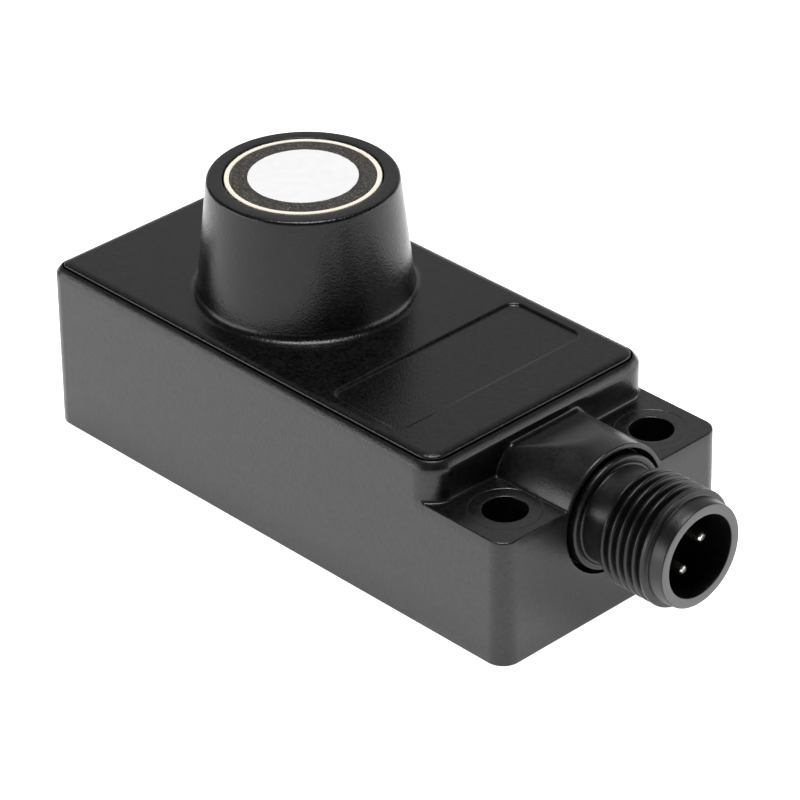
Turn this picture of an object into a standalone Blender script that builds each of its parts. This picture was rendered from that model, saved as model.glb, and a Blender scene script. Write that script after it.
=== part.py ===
"""Block-shaped ultrasonic proximity sensor with a transducer tower and an M12 male connector.

Frame: +X runs along the length towards the connector, +Z is the sensing direction, and the origin is
the middle of the mounting face. All sizes are in metres, given as millimetres times MM.
"""

import math

import bmesh
import bpy
from mathutils import Matrix, Vector

MM = 0.001
GAP = 0.3 * MM  # clearance between neighbouring pieces

ROUND_STEPS = 40
TOWER_STEPS = 56
HOLE_STEPS = 32
SMALL_STEPS = 16
CORNER_STEPS = 5
WIRE_STEPS = 6
CREASE = math.radians(30.0)  # sharper edges than this stay crisp
OVERRUN = 1.0 * MM  # how far a cutting shape runs past what it cuts

# Housing
LENGTH = 65.0 * MM
WIDTH = 30.0 * MM
BODY_END = 23.15 * MM  # x where the full-height body stops and the ears begin
EAR_TOP = 13.8 * MM
RIM_TOP = 18.05 * MM
DRAFT = 0.006  # inset per unit of height on the outer walls
EAR_CORNER = 2.0 * MM
BODY_CORNER = 2.8 * MM
RIM_CHAMFER = 0.15 * MM
FLOOR = 1.8 * MM
WALL = 1.8 * MM
CAVITY_CORNER = 1.0 * MM
LIP_INSET = 0.5 * MM  # thickness of the rim that surrounds the cover
LEDGE_TOP = 16.2 * MM
HOLE_X = 27.8 * MM
HOLE_Y = 10.0 * MM
HOLE_RADIUS = 2.2 * MM

# Connector axis, hood and bore
AXIS_Z = 11.05 * MM
HOOD_RADIUS_WALL = 7.05 * MM
HOOD_RADIUS_FRONT = 6.9 * MM
HOOD_RIDGE_Z = 16.38 * MM  # height of the hood's flat top where it meets the body
HOOD_FLAT_END = 29.5 * MM
HOOD_FRONT = 32.3 * MM
RECESS_RADIUS = 6.4 * MM
RECESS_FLOOR = 28.4 * MM
THROUGH_RADIUS = 4.9 * MM
THROUGH_START = 20.65 * MM

# Cover and tower
COVER_TOP = 18.42 * MM
COVER_BOTTOM = 17.0 * MM
COVER_ROUND = 0.4 * MM
EDGE_STEPS = 3
TOWER_X = -10.05 * MM
TOWER_TOP = 31.0 * MM
TOWER_TOP_RADIUS = 9.6 * MM
TOWER_TAPER = 0.11  # growth of the radius per unit of height going down
TOWER_ROUND = 0.4 * MM
TOWER_FILLET = 0.9 * MM
FILLET_STEPS = 4
FILLET_LAND = 0.02 * MM  # tiny step where the fillet meets the plate, so that it can't graze it
TOWER_BORE = 8.1 * MM
TOWER_SEAT = 19.2 * MM
TOWER_THROAT = 6.5 * MM
COVER_OVERLAP = 0.5 * MM  # how deep the tower and skirts run into the plate
PANEL_X = (6.7 * MM, 16.2 * MM)
PANEL_HALF = 12.45 * MM
PANEL_DEPTH = 0.25 * MM
PANEL_CORNER = 1.2 * MM
SKIRT_HALF = 12.9 * MM
SKIRT_THICK = 1.0 * MM
SKIRT_BOTTOM = 14.5 * MM
SKIRT_REACH = (-29.0 * MM, 15.0 * MM)
SEAL_SETBACK = 0.1 * MM

# Transducer
FACE_TOP = 31.0 * MM
SLEEVE_OUTER = 7.8 * MM
SLEEVE_INNER = 7.3 * MM
FACE_RADIUS = 7.1 * MM
DISC_RADIUS = 5.5 * MM
FACE_BOTTOM = 27.3 * MM
PIEZO_RADIUS = 6.5 * MM
PIEZO_THICK = 1.0 * MM
DAMPING_RADIUS = 6.8 * MM
CAP_BOTTOM = TOWER_SEAT + GAP
CAP_THICK = 1.3 * MM
POCKET_DEPTH = 0.5 * MM
POCKET_GAP = 0.1 * MM
DISC_GLUE = 0.15 * MM
LEAD_Y = 3.0 * MM
LEAD_RADIUS = 0.35 * MM
LEAD_HOLE = 0.7 * MM
# Each wire's way down, as (step along x, share of LEAD_Y, height)
LEAD_ROUTE = (
    (0.0, 1.0, 23.0 * MM),
    (0.0, 1.0, 19.0 * MM),
    (0.8 * MM, 0.9, 14.0 * MM),
    (1.5 * MM, 0.6, 10.0 * MM),
)
LEAD_FOOT = (1.5 * MM, 0.5)

# Connector
FRONT = 43.5 * MM
COLLAR_RADIUS = 5.35 * MM
SOCKET_RADIUS = 4.27 * MM
SOCKET_BOTTOM = 34.9 * MM
SHELL_BACK = 17.6 * MM
SHELL_REAR_RADIUS = 4.6 * MM
SHELL_INNER = 3.8 * MM
FLANGE_RADIUS = 6.1 * MM
FLANGE = (29.9 * MM, 32.1 * MM)
SHOULDER_RADIUS = 5.35 * MM
SHOULDER_END = 32.75 * MM
NECK_RADIUS = 4.95 * MM
THREAD_RADIUS = 6.0 * MM
THREAD_ROOT = 5.35 * MM
THREAD_PITCH = 1.0 * MM
THREAD_START = 35.4 * MM
THREAD_END = 41.3 * MM
THREAD_FADE_IN = 0.8 * MM
THREAD_FADE_OUT = 0.4 * MM
THREAD_LAND = 0.2 * MM  # full-height stretch before the thread ends
THREAD_STATIONS = 5  # rings along each pitch
TOOTH_GAIN = 1.35  # above 1 the crests and roots get flats
TOOTH_OFFSET = 0.15
COLLAR_START = 41.8 * MM
COLLAR_TAPER = 0.02 * MM
SHELL_EDGE = 0.15 * MM
KEY_ANGLE = math.radians(-135.0)  # about the connector axis, from +Y towards +Z
KEY_WIDTH = 1.1 * MM
KEY_HEIGHT = 0.55 * MM
KEY_SETBACK = 2.0 * MM
KEY_ROOT = 0.4 * MM
CARRIER_BACK = 20.0 * MM
PIN_CIRCLE = 2.5 * MM
PIN_RADIUS = 0.5 * MM
PIN_TIP = 41.45 * MM
PIN_TAIL = 18.4 * MM
PIN_HOLE = 0.75 * MM
TAIL_SHARE = 0.7  # tail thickness as a share of the pin's
NUT = (18.2 * MM, 21.0 * MM)
NUT_RADIUS = 5.6 * MM
NUT_SLOTS = 4
SLOT_DEPTH = 0.4 * MM
SLOT_HALF_WIDTH = 0.7 * MM
SLOT_LENGTH = 1.2 * MM
SEAL_RING_RADIUS = 5.5 * MM
SEAL_RING_SECTION = 0.45 * MM
SEAL_RING_STEPS = 8

# Board and its parts
RESIN_TOP = 4.2 * MM
RESIN_CORNER = 0.8 * MM
BOARD = (4.5 * MM, 6.1 * MM)
BOARD_X = (-29.8 * MM, 17.4 * MM)
BOARD_HALF = 12.4 * MM
PARTS_Z = BOARD[1] + GAP
BOARD_CORNER = 1.0 * MM
CONTACT_LEAD_RADIUS = 0.4 * MM
LEAD_STRAIGHT = 1.3 * MM
LEAD_SWING = 0.4 * MM
CONTACT_PADS = ((16.0 * MM, 1.8 * MM), (14.0 * MM, 4.2 * MM), (16.0 * MM, -1.8 * MM), (14.0 * MM, -4.2 * MM))
CONTACT_COLORS = ("brown_wire", "white_wire", "blue_wire", "black_wire")
TRANSDUCER_COLORS = ("red_wire", "black_wire")

# Chips with legs: name, middle (x, y), (length, width, height), legs on each side
LEGGED_CHIPS = (
    ("amplifier_chip", (3.0 * MM, 6.5 * MM), (5.0 * MM, 3.9 * MM, 1.5 * MM), 4),
    ("voltage_regulator", (10.0 * MM, -7.5 * MM), (5.0 * MM, 3.9 * MM, 1.5 * MM), 4),
    ("output_transistor", (9.5 * MM, 7.5 * MM), (2.9 * MM, 1.6 * MM, 1.1 * MM), 2),
)
LEG_WIDTH = 0.4 * MM
LEG_THICK = 0.15 * MM
LEG_KNEE = 0.4 * MM  # how far the leg stands out before it turns down
LEG_TOE = 1.0 * MM
LEG_ROOT = 0.2 * MM
CHIP_CLEARANCE = 0.1 * MM

# Plain blocks on the board: name, material, middle (x, y), (length, width, height), chamfer
BLOCK_PARTS = (
    ("microcontroller", "chip_black", (2.5 * MM, -6.0 * MM), (6.0 * MM, 6.0 * MM, 0.9 * MM), 0.1 * MM),
    ("surge_diode", "chip_black", (15.7 * MM, -8.35 * MM), (2.2 * MM, 4.3 * MM, 2.1 * MM), 0.2 * MM),
    ("filter_capacitor", "capacitor_amber", (15.0 * MM, 8.5 * MM), (3.2 * MM, 3.8 * MM, 1.8 * MM), 0.2 * MM),
)

CRYSTAL_MIDDLE = (-24.0 * MM, -8.5 * MM)
CRYSTAL_LENGTH = 11.0 * MM
CRYSTAL_HALF_WIDTH = 2.3 * MM
CRYSTAL_CORNER = 2.2 * MM
CRYSTAL_FLANGE = 0.5 * MM
CRYSTAL_HEIGHT = 3.4 * MM
CRYSTAL_EDGE = 0.3 * MM
CAN_MIDDLE = (-24.5 * MM, 7.5 * MM, 0.0)
CAN_RADIUS = 3.15 * MM
CAN_HEIGHT = 5.5 * MM
CAN_EDGE = 0.3 * MM
CAN_CRIMP = 1.3 * MM  # height of the groove round the can
CAN_CRIMP_DEPTH = 0.2 * MM
BEAD_MIDDLE = (-2.5 * MM, 9.5 * MM, 0.0)
BEAD_RADIUS = 0.9 * MM
BEAD_CENTRE = 1.1 * MM

# Transformer, with the coil round its middle leg
CORE_X = -19.5 * MM
CORE_HALF_LENGTH = 3.6 * MM
CORE_HALF_WIDTH = 4.4 * MM
CORE_HEIGHT = 7.0 * MM
CORE_YOKE = 1.4 * MM
CORE_LEG = 1.2 * MM
CORE_WALL = 1.1 * MM
CORE_EDGE = 0.2 * MM
COIL_REACH = 0.8 * MM  # how far the coil stands out of each end of the core


def clear_scene():
    for obj in list(bpy.data.objects):
        bpy.data.objects.remove(obj, do_unlink=True)


def make_material(name, color, roughness, metallic=0.0):
    material = bpy.data.materials.new(name)
    material.use_nodes = True
    shader = material.node_tree.nodes["Principled BSDF"]
    shader.inputs["Base Color"].default_value = (*color, 1.0)
    shader.inputs["Roughness"].default_value = roughness
    shader.inputs["Metallic"].default_value = metallic
    material.diffuse_color = (*color, 1.0)
    return material


def make_object(name, mesh_data, material=None):
    """Turn a bmesh into an object, with its faces turned outward and its flat faces kept crisp."""
    bmesh.ops.recalc_face_normals(mesh_data, faces=mesh_data.faces)
    mesh = bpy.data.meshes.new(name)
    mesh_data.to_mesh(mesh)
    mesh_data.free()
    mesh.shade_smooth()
    mesh.set_sharp_from_angle(angle=CREASE)
    obj = bpy.data.objects.new(name, mesh)
    bpy.context.scene.collection.objects.link(obj)
    if material:
        mesh.materials.append(material)
    return obj


def helper(obj):
    """Mark an object that only shapes others."""
    obj.hide_render = True
    obj.display_type = "WIRE"
    return obj


def combine(target, other, operation):
    modifier = target.modifiers.new(f"{operation.lower()} {other.name}", "BOOLEAN")
    modifier.operation = operation
    modifier.solver = "EXACT"
    modifier.object = helper(other)


def cut(target, *others):
    for other in others:
        combine(target, other, "DIFFERENCE")


def fuse(target, *others):
    for other in others:
        combine(target, other, "UNION")


def rounded_outline(x_low, x_high, half, corner_low, corner_high, inset=0.0, steps=CORNER_STEPS):
    """Points round a rectangle in X and Y, centred on Y, with one corner radius at each end of X."""
    corners = (
        (x_high, half, corner_high, 0.0),
        (x_low, half, corner_low, 0.5 * math.pi),
        (x_low, -half, corner_low, math.pi),
        (x_high, -half, corner_high, 1.5 * math.pi),
    )
    points = []
    for x, y, radius, start in corners:
        centre_x = x - math.copysign(radius, math.cos(start + 0.25 * math.pi))
        centre_y = y - math.copysign(radius, math.sin(start + 0.25 * math.pi))
        for step in range(steps + 1):
            angle = start + 0.5 * math.pi * step / steps
            reach = radius - inset
            points.append((centre_x + reach * math.cos(angle), centre_y + reach * math.sin(angle)))
    return points


def loft(name, rings, material=None):
    """Join rings of equally many points, and close both ends."""
    mesh_data = bmesh.new()
    rows = [[mesh_data.verts.new(point) for point in ring] for ring in rings]
    count = len(rows[0])
    for lower, upper in zip(rows, rows[1:]):
        for i in range(count):
            j = (i + 1) % count
            mesh_data.faces.new((lower[i], lower[j], upper[j], upper[i]))
    mesh_data.faces.new(rows[0])
    mesh_data.faces.new(rows[-1])
    return make_object(name, mesh_data, material)


def slab(name, outline_at, stations, material=None):
    """Stack an outline at several heights. Each station is (z, inset)."""
    rings = [[(x, y, z) for x, y in outline_at(inset)] for z, inset in stations]
    return loft(name, rings, material)


def block(name, low, high, material=None, chamfer=0.0):
    """A box between two corners, with its top edges chamfered when asked."""
    stations = [(low[2], 0.0), (high[2] - chamfer, 0.0)]
    if chamfer:
        stations.append((high[2], chamfer))
    rings = []
    for z, inset in stations:
        x_low, y_low = low[0] + inset, low[1] + inset
        x_high, y_high = high[0] - inset, high[1] - inset
        rings.append([(x_low, y_low, z), (x_high, y_low, z), (x_high, y_high, z), (x_low, y_high, z)])
    return loft(name, rings, material)


def circle(centre, along, radius, height, steps):
    """Points round an axis, starting at +Y."""
    axis = Vector(along)
    side = Vector((0.0, 1.0, 0.0))
    other = axis.cross(side)
    base = Vector(centre) + axis * height
    turns = [2.0 * math.pi * step / steps for step in range(steps)]
    return [base + radius * (math.cos(angle) * side + math.sin(angle) * other) for angle in turns]


def turned(name, profile, centre, along, material=None, closed=True, steps=ROUND_STEPS):
    """Spin a profile of (radius, height) points. A point on the axis becomes a single vertex."""
    mesh_data = bmesh.new()
    rows = []
    for radius, height in profile:
        points = circle(centre, along, radius, height, steps if radius else 1)
        rows.append([mesh_data.verts.new(point) for point in points])
    pairs = list(zip(rows, rows[1:]))
    if closed:
        pairs.append((rows[-1], rows[0]))
    for first, second in pairs:
        for i in range(steps):
            j = (i + 1) % steps
            if len(first) == 1:
                mesh_data.faces.new((first[0], second[i], second[j]))
            elif len(second) == 1:
                mesh_data.faces.new((first[i], first[j], second[0]))
            else:
                mesh_data.faces.new((first[i], first[j], second[j], second[i]))
    return make_object(name, mesh_data, material)


def stepped_cylinder(name, centre, along, profile, material=None, steps=ROUND_STEPS):
    """A solid round piece from (radius, height) stations, with a flat face at each end."""
    rings = [circle(centre, along, radius, height, steps) for radius, height in profile]
    return loft(name, rings, material)


def cylinder(name, centre, along, radius, low, high, material=None, steps=ROUND_STEPS):
    return stepped_cylinder(name, centre, along, [(radius, low), (radius, high)], material, steps)


def arc(centre_r, centre_h, radius, start, end, steps=4):
    """Points of an arc in a turned profile, angles in degrees from the outward direction."""
    points = []
    for step in range(steps + 1):
        angle = math.radians(start + (end - start) * step / steps)
        points.append((centre_r + radius * math.cos(angle), centre_h + radius * math.sin(angle)))
    return points


def wire(name, route, radius, material):
    """A round wire through a few points, smoothed into one curve."""
    points = [Vector(point) for point in route]
    smooth = []
    for i in range(len(points) - 1):
        before = points[max(i - 1, 0)]
        after = points[min(i + 2, len(points) - 1)]
        for step in range(WIRE_STEPS):
            t = step / WIRE_STEPS
            first = 2.0 * points[i]
            second = (points[i + 1] - before) * t
            third = (2.0 * before - 5.0 * points[i] + 4.0 * points[i + 1] - after) * t**2
            fourth = (3.0 * points[i] - before - 3.0 * points[i + 1] + after) * t**3
            smooth.append(0.5 * (first + second + third + fourth))
    smooth.append(points[-1])
    curve = bpy.data.curves.new(name, "CURVE")
    curve.dimensions = "3D"
    curve.bevel_depth = radius
    curve.bevel_resolution = 1
    curve.use_fill_caps = True
    spline = curve.splines.new("POLY")
    spline.points.add(len(smooth) - 1)
    for spline_point, place in zip(spline.points, smooth):
        spline_point.co = (*place, 1.0)
    curve.materials.append(material)
    obj = bpy.data.objects.new(name, curve)
    bpy.context.scene.collection.objects.link(obj)
    return obj


X_AXIS = (1.0, 0.0, 0.0)
Z_AXIS = (0.0, 0.0, 1.0)
CONNECTOR_CENTRE = (0.0, 0.0, AXIS_Z)
TOWER_CENTRE = (TOWER_X, 0.0, 0.0)
HALF_LENGTH = 0.5 * LENGTH
HALF_WIDTH = 0.5 * WIDTH


def body_outline(inset):
    return rounded_outline(-HALF_LENGTH, BODY_END, HALF_WIDTH, EAR_CORNER, BODY_CORNER, inset)


def make_body_block(name, material):
    """The full-height body with the lower ears in front of it, its walls leaning in by the draft."""
    count = CORNER_STEPS + 1
    near = slice(0, count)
    far = slice(count, 3 * count)
    last = slice(3 * count, 4 * count)

    def ear_outline(inset):
        ears = rounded_outline(-HALF_LENGTH, HALF_LENGTH, HALF_WIDTH, EAR_CORNER, EAR_CORNER, inset)
        body = body_outline(inset)
        return ears[near] + [body[count - 1]] + ears[far] + [body[3 * count]] + ears[last]

    mesh_data = bmesh.new()

    def row(outline, z):
        return [mesh_data.verts.new((x, y, z)) for x, y in outline]

    def join(lower, upper):
        for i in range(len(lower)):
            j = (i + 1) % len(lower)
            mesh_data.faces.new((lower[i], lower[j], upper[j], upper[i]))

    ear_inset = DRAFT * EAR_TOP
    rim_inset = DRAFT * RIM_TOP
    bottom = row(ear_outline(0.0), 0.0)
    ear_row = row(ear_outline(ear_inset), EAR_TOP)
    join(bottom, ear_row)
    near_corner = row(body_outline(ear_inset)[: count - 1], EAR_TOP)
    last_corner = row(body_outline(ear_inset)[3 * count + 1 :], EAR_TOP)
    shared = ear_row[count : 3 * count + 2]
    foot = near_corner + shared + last_corner
    edge = row(body_outline(rim_inset), RIM_TOP - RIM_CHAMFER)
    rim = row(body_outline(rim_inset + RIM_CHAMFER), RIM_TOP)
    join(foot, edge)
    join(edge, rim)
    mesh_data.faces.new(bottom)
    mesh_data.faces.new(rim)
    ear_top = ear_row[: count + 1] + near_corner[::-1] + last_corner[::-1] + ear_row[3 * count + 1 :]
    mesh_data.faces.new(ear_top)
    return make_object(name, mesh_data, material)


def make_hood():
    """The cylinder over the connector, with a flat that slopes down to the body's end wall."""
    slope = (HOOD_RADIUS_WALL - HOOD_RADIUS_FRONT) / (HOOD_FRONT - BODY_END)
    start = BODY_END - OVERRUN
    profile = [(HOOD_RADIUS_WALL + slope * OVERRUN, start), (HOOD_RADIUS_FRONT, HOOD_FRONT)]
    hood = stepped_cylinder("hood", CONNECTOR_CENTRE, X_AXIS, profile)
    crown = AXIS_Z + HOOD_RADIUS_FRONT
    rise = (crown - HOOD_RIDGE_Z) / (HOOD_FLAT_END - BODY_END)
    low_x = start - OVERRUN
    high_x = HOOD_FRONT + OVERRUN
    top = crown + LENGTH
    wedge_side = [
        (low_x, HOOD_RIDGE_Z + rise * (low_x - BODY_END)),
        (high_x, HOOD_RIDGE_Z + rise * (high_x - BODY_END)),
        (high_x, top),
        (low_x, top),
    ]
    rings = [[(x, y, z) for x, z in wedge_side] for y in (-HALF_WIDTH, HALF_WIDTH)]
    cut(hood, loft("hood_flat", rings))
    return hood


def make_housing(material):
    inside = DRAFT * RIM_TOP + LIP_INSET

    def rebate_outline(inset):
        return body_outline(inside + inset)

    def cavity_outline(inset):
        return rounded_outline(
            -HALF_LENGTH + WALL, BODY_END - WALL, HALF_WIDTH - WALL, CAVITY_CORNER, CAVITY_CORNER, inset
        )

    housing = make_body_block("housing", material)
    fuse(housing, make_hood())
    above = RIM_TOP + OVERRUN
    bore_profile = [
        (THROUGH_RADIUS, THROUGH_START),
        (THROUGH_RADIUS, RECESS_FLOOR),
        (RECESS_RADIUS, RECESS_FLOOR),
        (RECESS_RADIUS, LENGTH),
    ]
    holes = [
        cylinder(f"screw_hole_{i}", (HOLE_X, y, 0.0), Z_AXIS, HOLE_RADIUS, -OVERRUN, above, steps=HOLE_STEPS)
        for i, y in enumerate((-HOLE_Y, HOLE_Y), 1)
    ]
    cut(
        housing,
        slab("cover_rebate", rebate_outline, [(LEDGE_TOP, 0.0), (above, 0.0)]),
        slab("cavity", cavity_outline, [(FLOOR, 0.0), (above, 0.0)]),
        stepped_cylinder("end_bore", CONNECTOR_CENTRE, X_AXIS, bore_profile),
        *holes,
    )
    return housing


def make_cover(material):
    inside = DRAFT * RIM_TOP + LIP_INSET + GAP

    def outline(inset):
        return body_outline(inside + inset)

    stations = [(COVER_BOTTOM, 0.0)]
    for radius, height in arc(0.0, 0.0, COVER_ROUND, 0.0, 90.0, EDGE_STEPS):
        stations.append((COVER_TOP - COVER_ROUND + height, COVER_ROUND - radius))
    cover = slab("top_cover", outline, stations, material)
    tower_base = TOWER_TOP_RADIUS + TOWER_TAPER * (TOWER_TOP - COVER_TOP)
    foot = tower_base + TOWER_FILLET
    profile = [(foot, COVER_TOP - COVER_OVERLAP), (foot, COVER_TOP + FILLET_LAND)]
    for radius, height in arc(0.0, 0.0, TOWER_FILLET, -90.0, -180.0, FILLET_STEPS)[1:]:
        profile.append((foot + radius, COVER_TOP + TOWER_FILLET + height))
    top_centre = (TOWER_TOP_RADIUS - TOWER_ROUND, TOWER_TOP - TOWER_ROUND)
    profile += arc(*top_centre, TOWER_ROUND, 0.0, 90.0)
    tower = stepped_cylinder("tower", TOWER_CENTRE, Z_AXIS, profile, steps=TOWER_STEPS)
    fuse(cover, tower)
    for i, side in enumerate((-1.0, 1.0), 1):
        near = side * (SKIRT_HALF - SKIRT_THICK)
        far = side * SKIRT_HALF
        low = (SKIRT_REACH[0], min(near, far), SKIRT_BOTTOM)
        high = (SKIRT_REACH[1], max(near, far), COVER_BOTTOM + COVER_OVERLAP)
        fuse(cover, block(f"skirt_{i}", low, high))

    def panel_outline(inset):
        return rounded_outline(*PANEL_X, PANEL_HALF, PANEL_CORNER, PANEL_CORNER, inset)

    panel_floor = COVER_TOP - PANEL_DEPTH
    bore_profile = [
        (TOWER_THROAT, COVER_BOTTOM - OVERRUN),
        (TOWER_THROAT, TOWER_SEAT),
        (TOWER_BORE, TOWER_SEAT),
        (TOWER_BORE, TOWER_TOP + OVERRUN),
    ]
    cut(
        cover,
        stepped_cylinder("tower_bore", TOWER_CENTRE, Z_AXIS, bore_profile, steps=TOWER_STEPS),
        slab("panel", panel_outline, [(panel_floor, 0.0), (COVER_TOP + OVERRUN, 0.0)]),
    )
    return cover


def make_cover_seal(material):
    """A flat gasket on the housing's ledge, open in the middle so that the cover's skirts pass through."""
    outer = DRAFT * RIM_TOP + LIP_INSET + GAP
    low = LEDGE_TOP + 0.5 * GAP
    high = COVER_BOTTOM - 0.5 * GAP
    seal = slab("cover_seal", body_outline, [(low, outer), (high, outer)], material)

    def opening(inset):
        return rounded_outline(
            -HALF_LENGTH + WALL + SEAL_SETBACK,
            BODY_END - WALL - SEAL_SETBACK,
            SKIRT_HALF + GAP,
            CAVITY_CORNER,
            CAVITY_CORNER,
            inset,
        )

    cut(seal, slab("seal_opening", opening, [(low - OVERRUN, 0.0), (high + OVERRUN, 0.0)]))
    return seal


def make_transducer(materials):
    sleeve_profile = [
        (SLEEVE_INNER, CAP_BOTTOM),
        (SLEEVE_OUTER, CAP_BOTTOM),
        (SLEEVE_OUTER, FACE_TOP),
        (SLEEVE_INNER, FACE_TOP),
    ]
    turned("decoupling_sleeve", sleeve_profile, TOWER_CENTRE, Z_AXIS, materials["cream_silicone"])
    pocket_floor = FACE_TOP - POCKET_DEPTH
    face_profile = [
        (0.0, FACE_BOTTOM),
        (FACE_RADIUS, FACE_BOTTOM),
        (FACE_RADIUS, FACE_TOP),
        (DISC_RADIUS + POCKET_GAP, FACE_TOP),
        (DISC_RADIUS + POCKET_GAP, pocket_floor),
        (0.0, pocket_floor),
    ]
    turned(
        "matching_layer", face_profile, TOWER_CENTRE, Z_AXIS, materials["filled_resin"], closed=False
    )
    disc_low = pocket_floor + DISC_GLUE
    cylinder(
        "face_disc", TOWER_CENTRE, Z_AXIS, DISC_RADIUS, disc_low, FACE_TOP, materials["white_coating"]
    )
    piezo_top = FACE_BOTTOM - GAP
    piezo_bottom = piezo_top - PIEZO_THICK
    cylinder(
        "piezo_disc", TOWER_CENTRE, Z_AXIS, PIEZO_RADIUS, piezo_bottom, piezo_top, materials["ceramic"]
    )
    damping_bottom = CAP_BOTTOM + CAP_THICK + GAP
    damping = cylinder(
        "damping_block",
        TOWER_CENTRE,
        Z_AXIS,
        DAMPING_RADIUS,
        damping_bottom,
        piezo_bottom - GAP,
        materials["damping_resin"],
    )
    cap = cylinder(
        "transducer_back_cap",
        TOWER_CENTRE,
        Z_AXIS,
        SLEEVE_INNER - GAP,
        CAP_BOTTOM,
        CAP_BOTTOM + CAP_THICK,
        materials["black_plastic"],
    )
    for i, side in enumerate((-1.0, 1.0)):
        y = side * LEAD_Y
        centre = (TOWER_X, y, 0.0)
        low = CAP_BOTTOM - OVERRUN
        high = FACE_BOTTOM
        channel = cylinder(f"lead_channel_{i}", centre, Z_AXIS, LEAD_HOLE, low, high, steps=SMALL_STEPS)
        cut(damping, channel)
        cut(cap, channel)
        route = [(TOWER_X, y, piezo_bottom - GAP)]
        route += [(TOWER_X + along, share * y, z) for along, share, z in LEAD_ROUTE]
        route += [(TOWER_X + LEAD_FOOT[0], LEAD_FOOT[1] * y, PARTS_Z)]
        wire(f"transducer_lead_{i + 1}", route, LEAD_RADIUS, materials[TRANSDUCER_COLORS[i]])


def clamped(value):
    return min(max(value, 0.0), 1.0)


def thread_radius(x, angle):
    """Outer radius of the threaded part at a place along the axis and an angle round it."""
    turns = (x - THREAD_START) / THREAD_PITCH - angle / (2.0 * math.pi)
    tooth = abs(2.0 * (turns - math.floor(turns)) - 1.0)
    flank = clamped(TOOTH_GAIN * tooth - TOOTH_OFFSET)
    radius = THREAD_ROOT + (THREAD_RADIUS - THREAD_ROOT) * flank
    fade_in = clamped((x - THREAD_START) / THREAD_FADE_IN)
    fade_out = clamped((THREAD_END - THREAD_LAND - x) / THREAD_FADE_OUT)
    radius = NECK_RADIUS + (radius - NECK_RADIUS) * fade_in
    return THREAD_RADIUS + (radius - THREAD_RADIUS) * fade_out


def make_connector_shell(material):
    """The threaded shell: rear tube, flange, shoulder, neck, thread, collar and socket in one piece."""
    steps = ROUND_STEPS
    plain = [
        (SHELL_INNER, SHELL_BACK),
        (SHELL_REAR_RADIUS, SHELL_BACK),
        (SHELL_REAR_RADIUS, FLANGE[0]),
        (FLANGE_RADIUS, FLANGE[0]),
        (FLANGE_RADIUS, FLANGE[1]),
        (SHOULDER_RADIUS, FLANGE[1]),
        (SHOULDER_RADIUS, SHOULDER_END - SHELL_EDGE),
        (SHOULDER_RADIUS - SHELL_EDGE, SHOULDER_END),
        (NECK_RADIUS, SHOULDER_END + SHELL_EDGE),
    ]
    front = [
        (COLLAR_RADIUS, COLLAR_START),
        (COLLAR_RADIUS - COLLAR_TAPER, FRONT - SHELL_EDGE),
        (COLLAR_RADIUS - SHELL_EDGE, FRONT),
        (SOCKET_RADIUS, FRONT),
        (SOCKET_RADIUS, SOCKET_BOTTOM),
        (SHELL_INNER, SOCKET_BOTTOM),
    ]
    stations = round(THREAD_STATIONS * (THREAD_END - THREAD_START) / THREAD_PITCH)
    rings = [[(radius, x)] * steps for radius, x in plain]
    for station in range(stations + 1):
        x = THREAD_START + (THREAD_END - THREAD_START) * station / stations
        ring = [(thread_radius(x, 2.0 * math.pi * step / steps), x) for step in range(steps)]
        rings.append(ring)
    rings += [[(radius, x)] * steps for radius, x in front]
    mesh_data = bmesh.new()
    rows = []
    for ring in rings:
        row = []
        for step, (radius, x) in enumerate(ring):
            angle = 2.0 * math.pi * step / steps
            y = radius * math.cos(angle)
            z = AXIS_Z + radius * math.sin(angle)
            row.append(mesh_data.verts.new((x, y, z)))
        rows.append(row)
    for first, second in zip(rows, rows[1:] + rows[:1]):
        for i in range(steps):
            j = (i + 1) % steps
            mesh_data.faces.new((first[i], first[j], second[j], second[i]))
    shell = make_object("connector_shell", mesh_data, material)
    key = block(
        "key",
        (SOCKET_BOTTOM - KEY_ROOT, SOCKET_RADIUS - KEY_HEIGHT, -0.5 * KEY_WIDTH),
        (FRONT - KEY_SETBACK, SOCKET_RADIUS + KEY_ROOT, 0.5 * KEY_WIDTH),
    )
    turn = Matrix.Rotation(KEY_ANGLE, 4, "X")
    key.matrix_world = Matrix.Translation(CONNECTOR_CENTRE) @ turn
    fuse(shell, key)
    return shell


def pin_place(index):
    angle = -0.5 * math.pi * index
    return (0.0, PIN_CIRCLE * math.cos(angle), AXIS_Z + PIN_CIRCLE * math.sin(angle))


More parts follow.
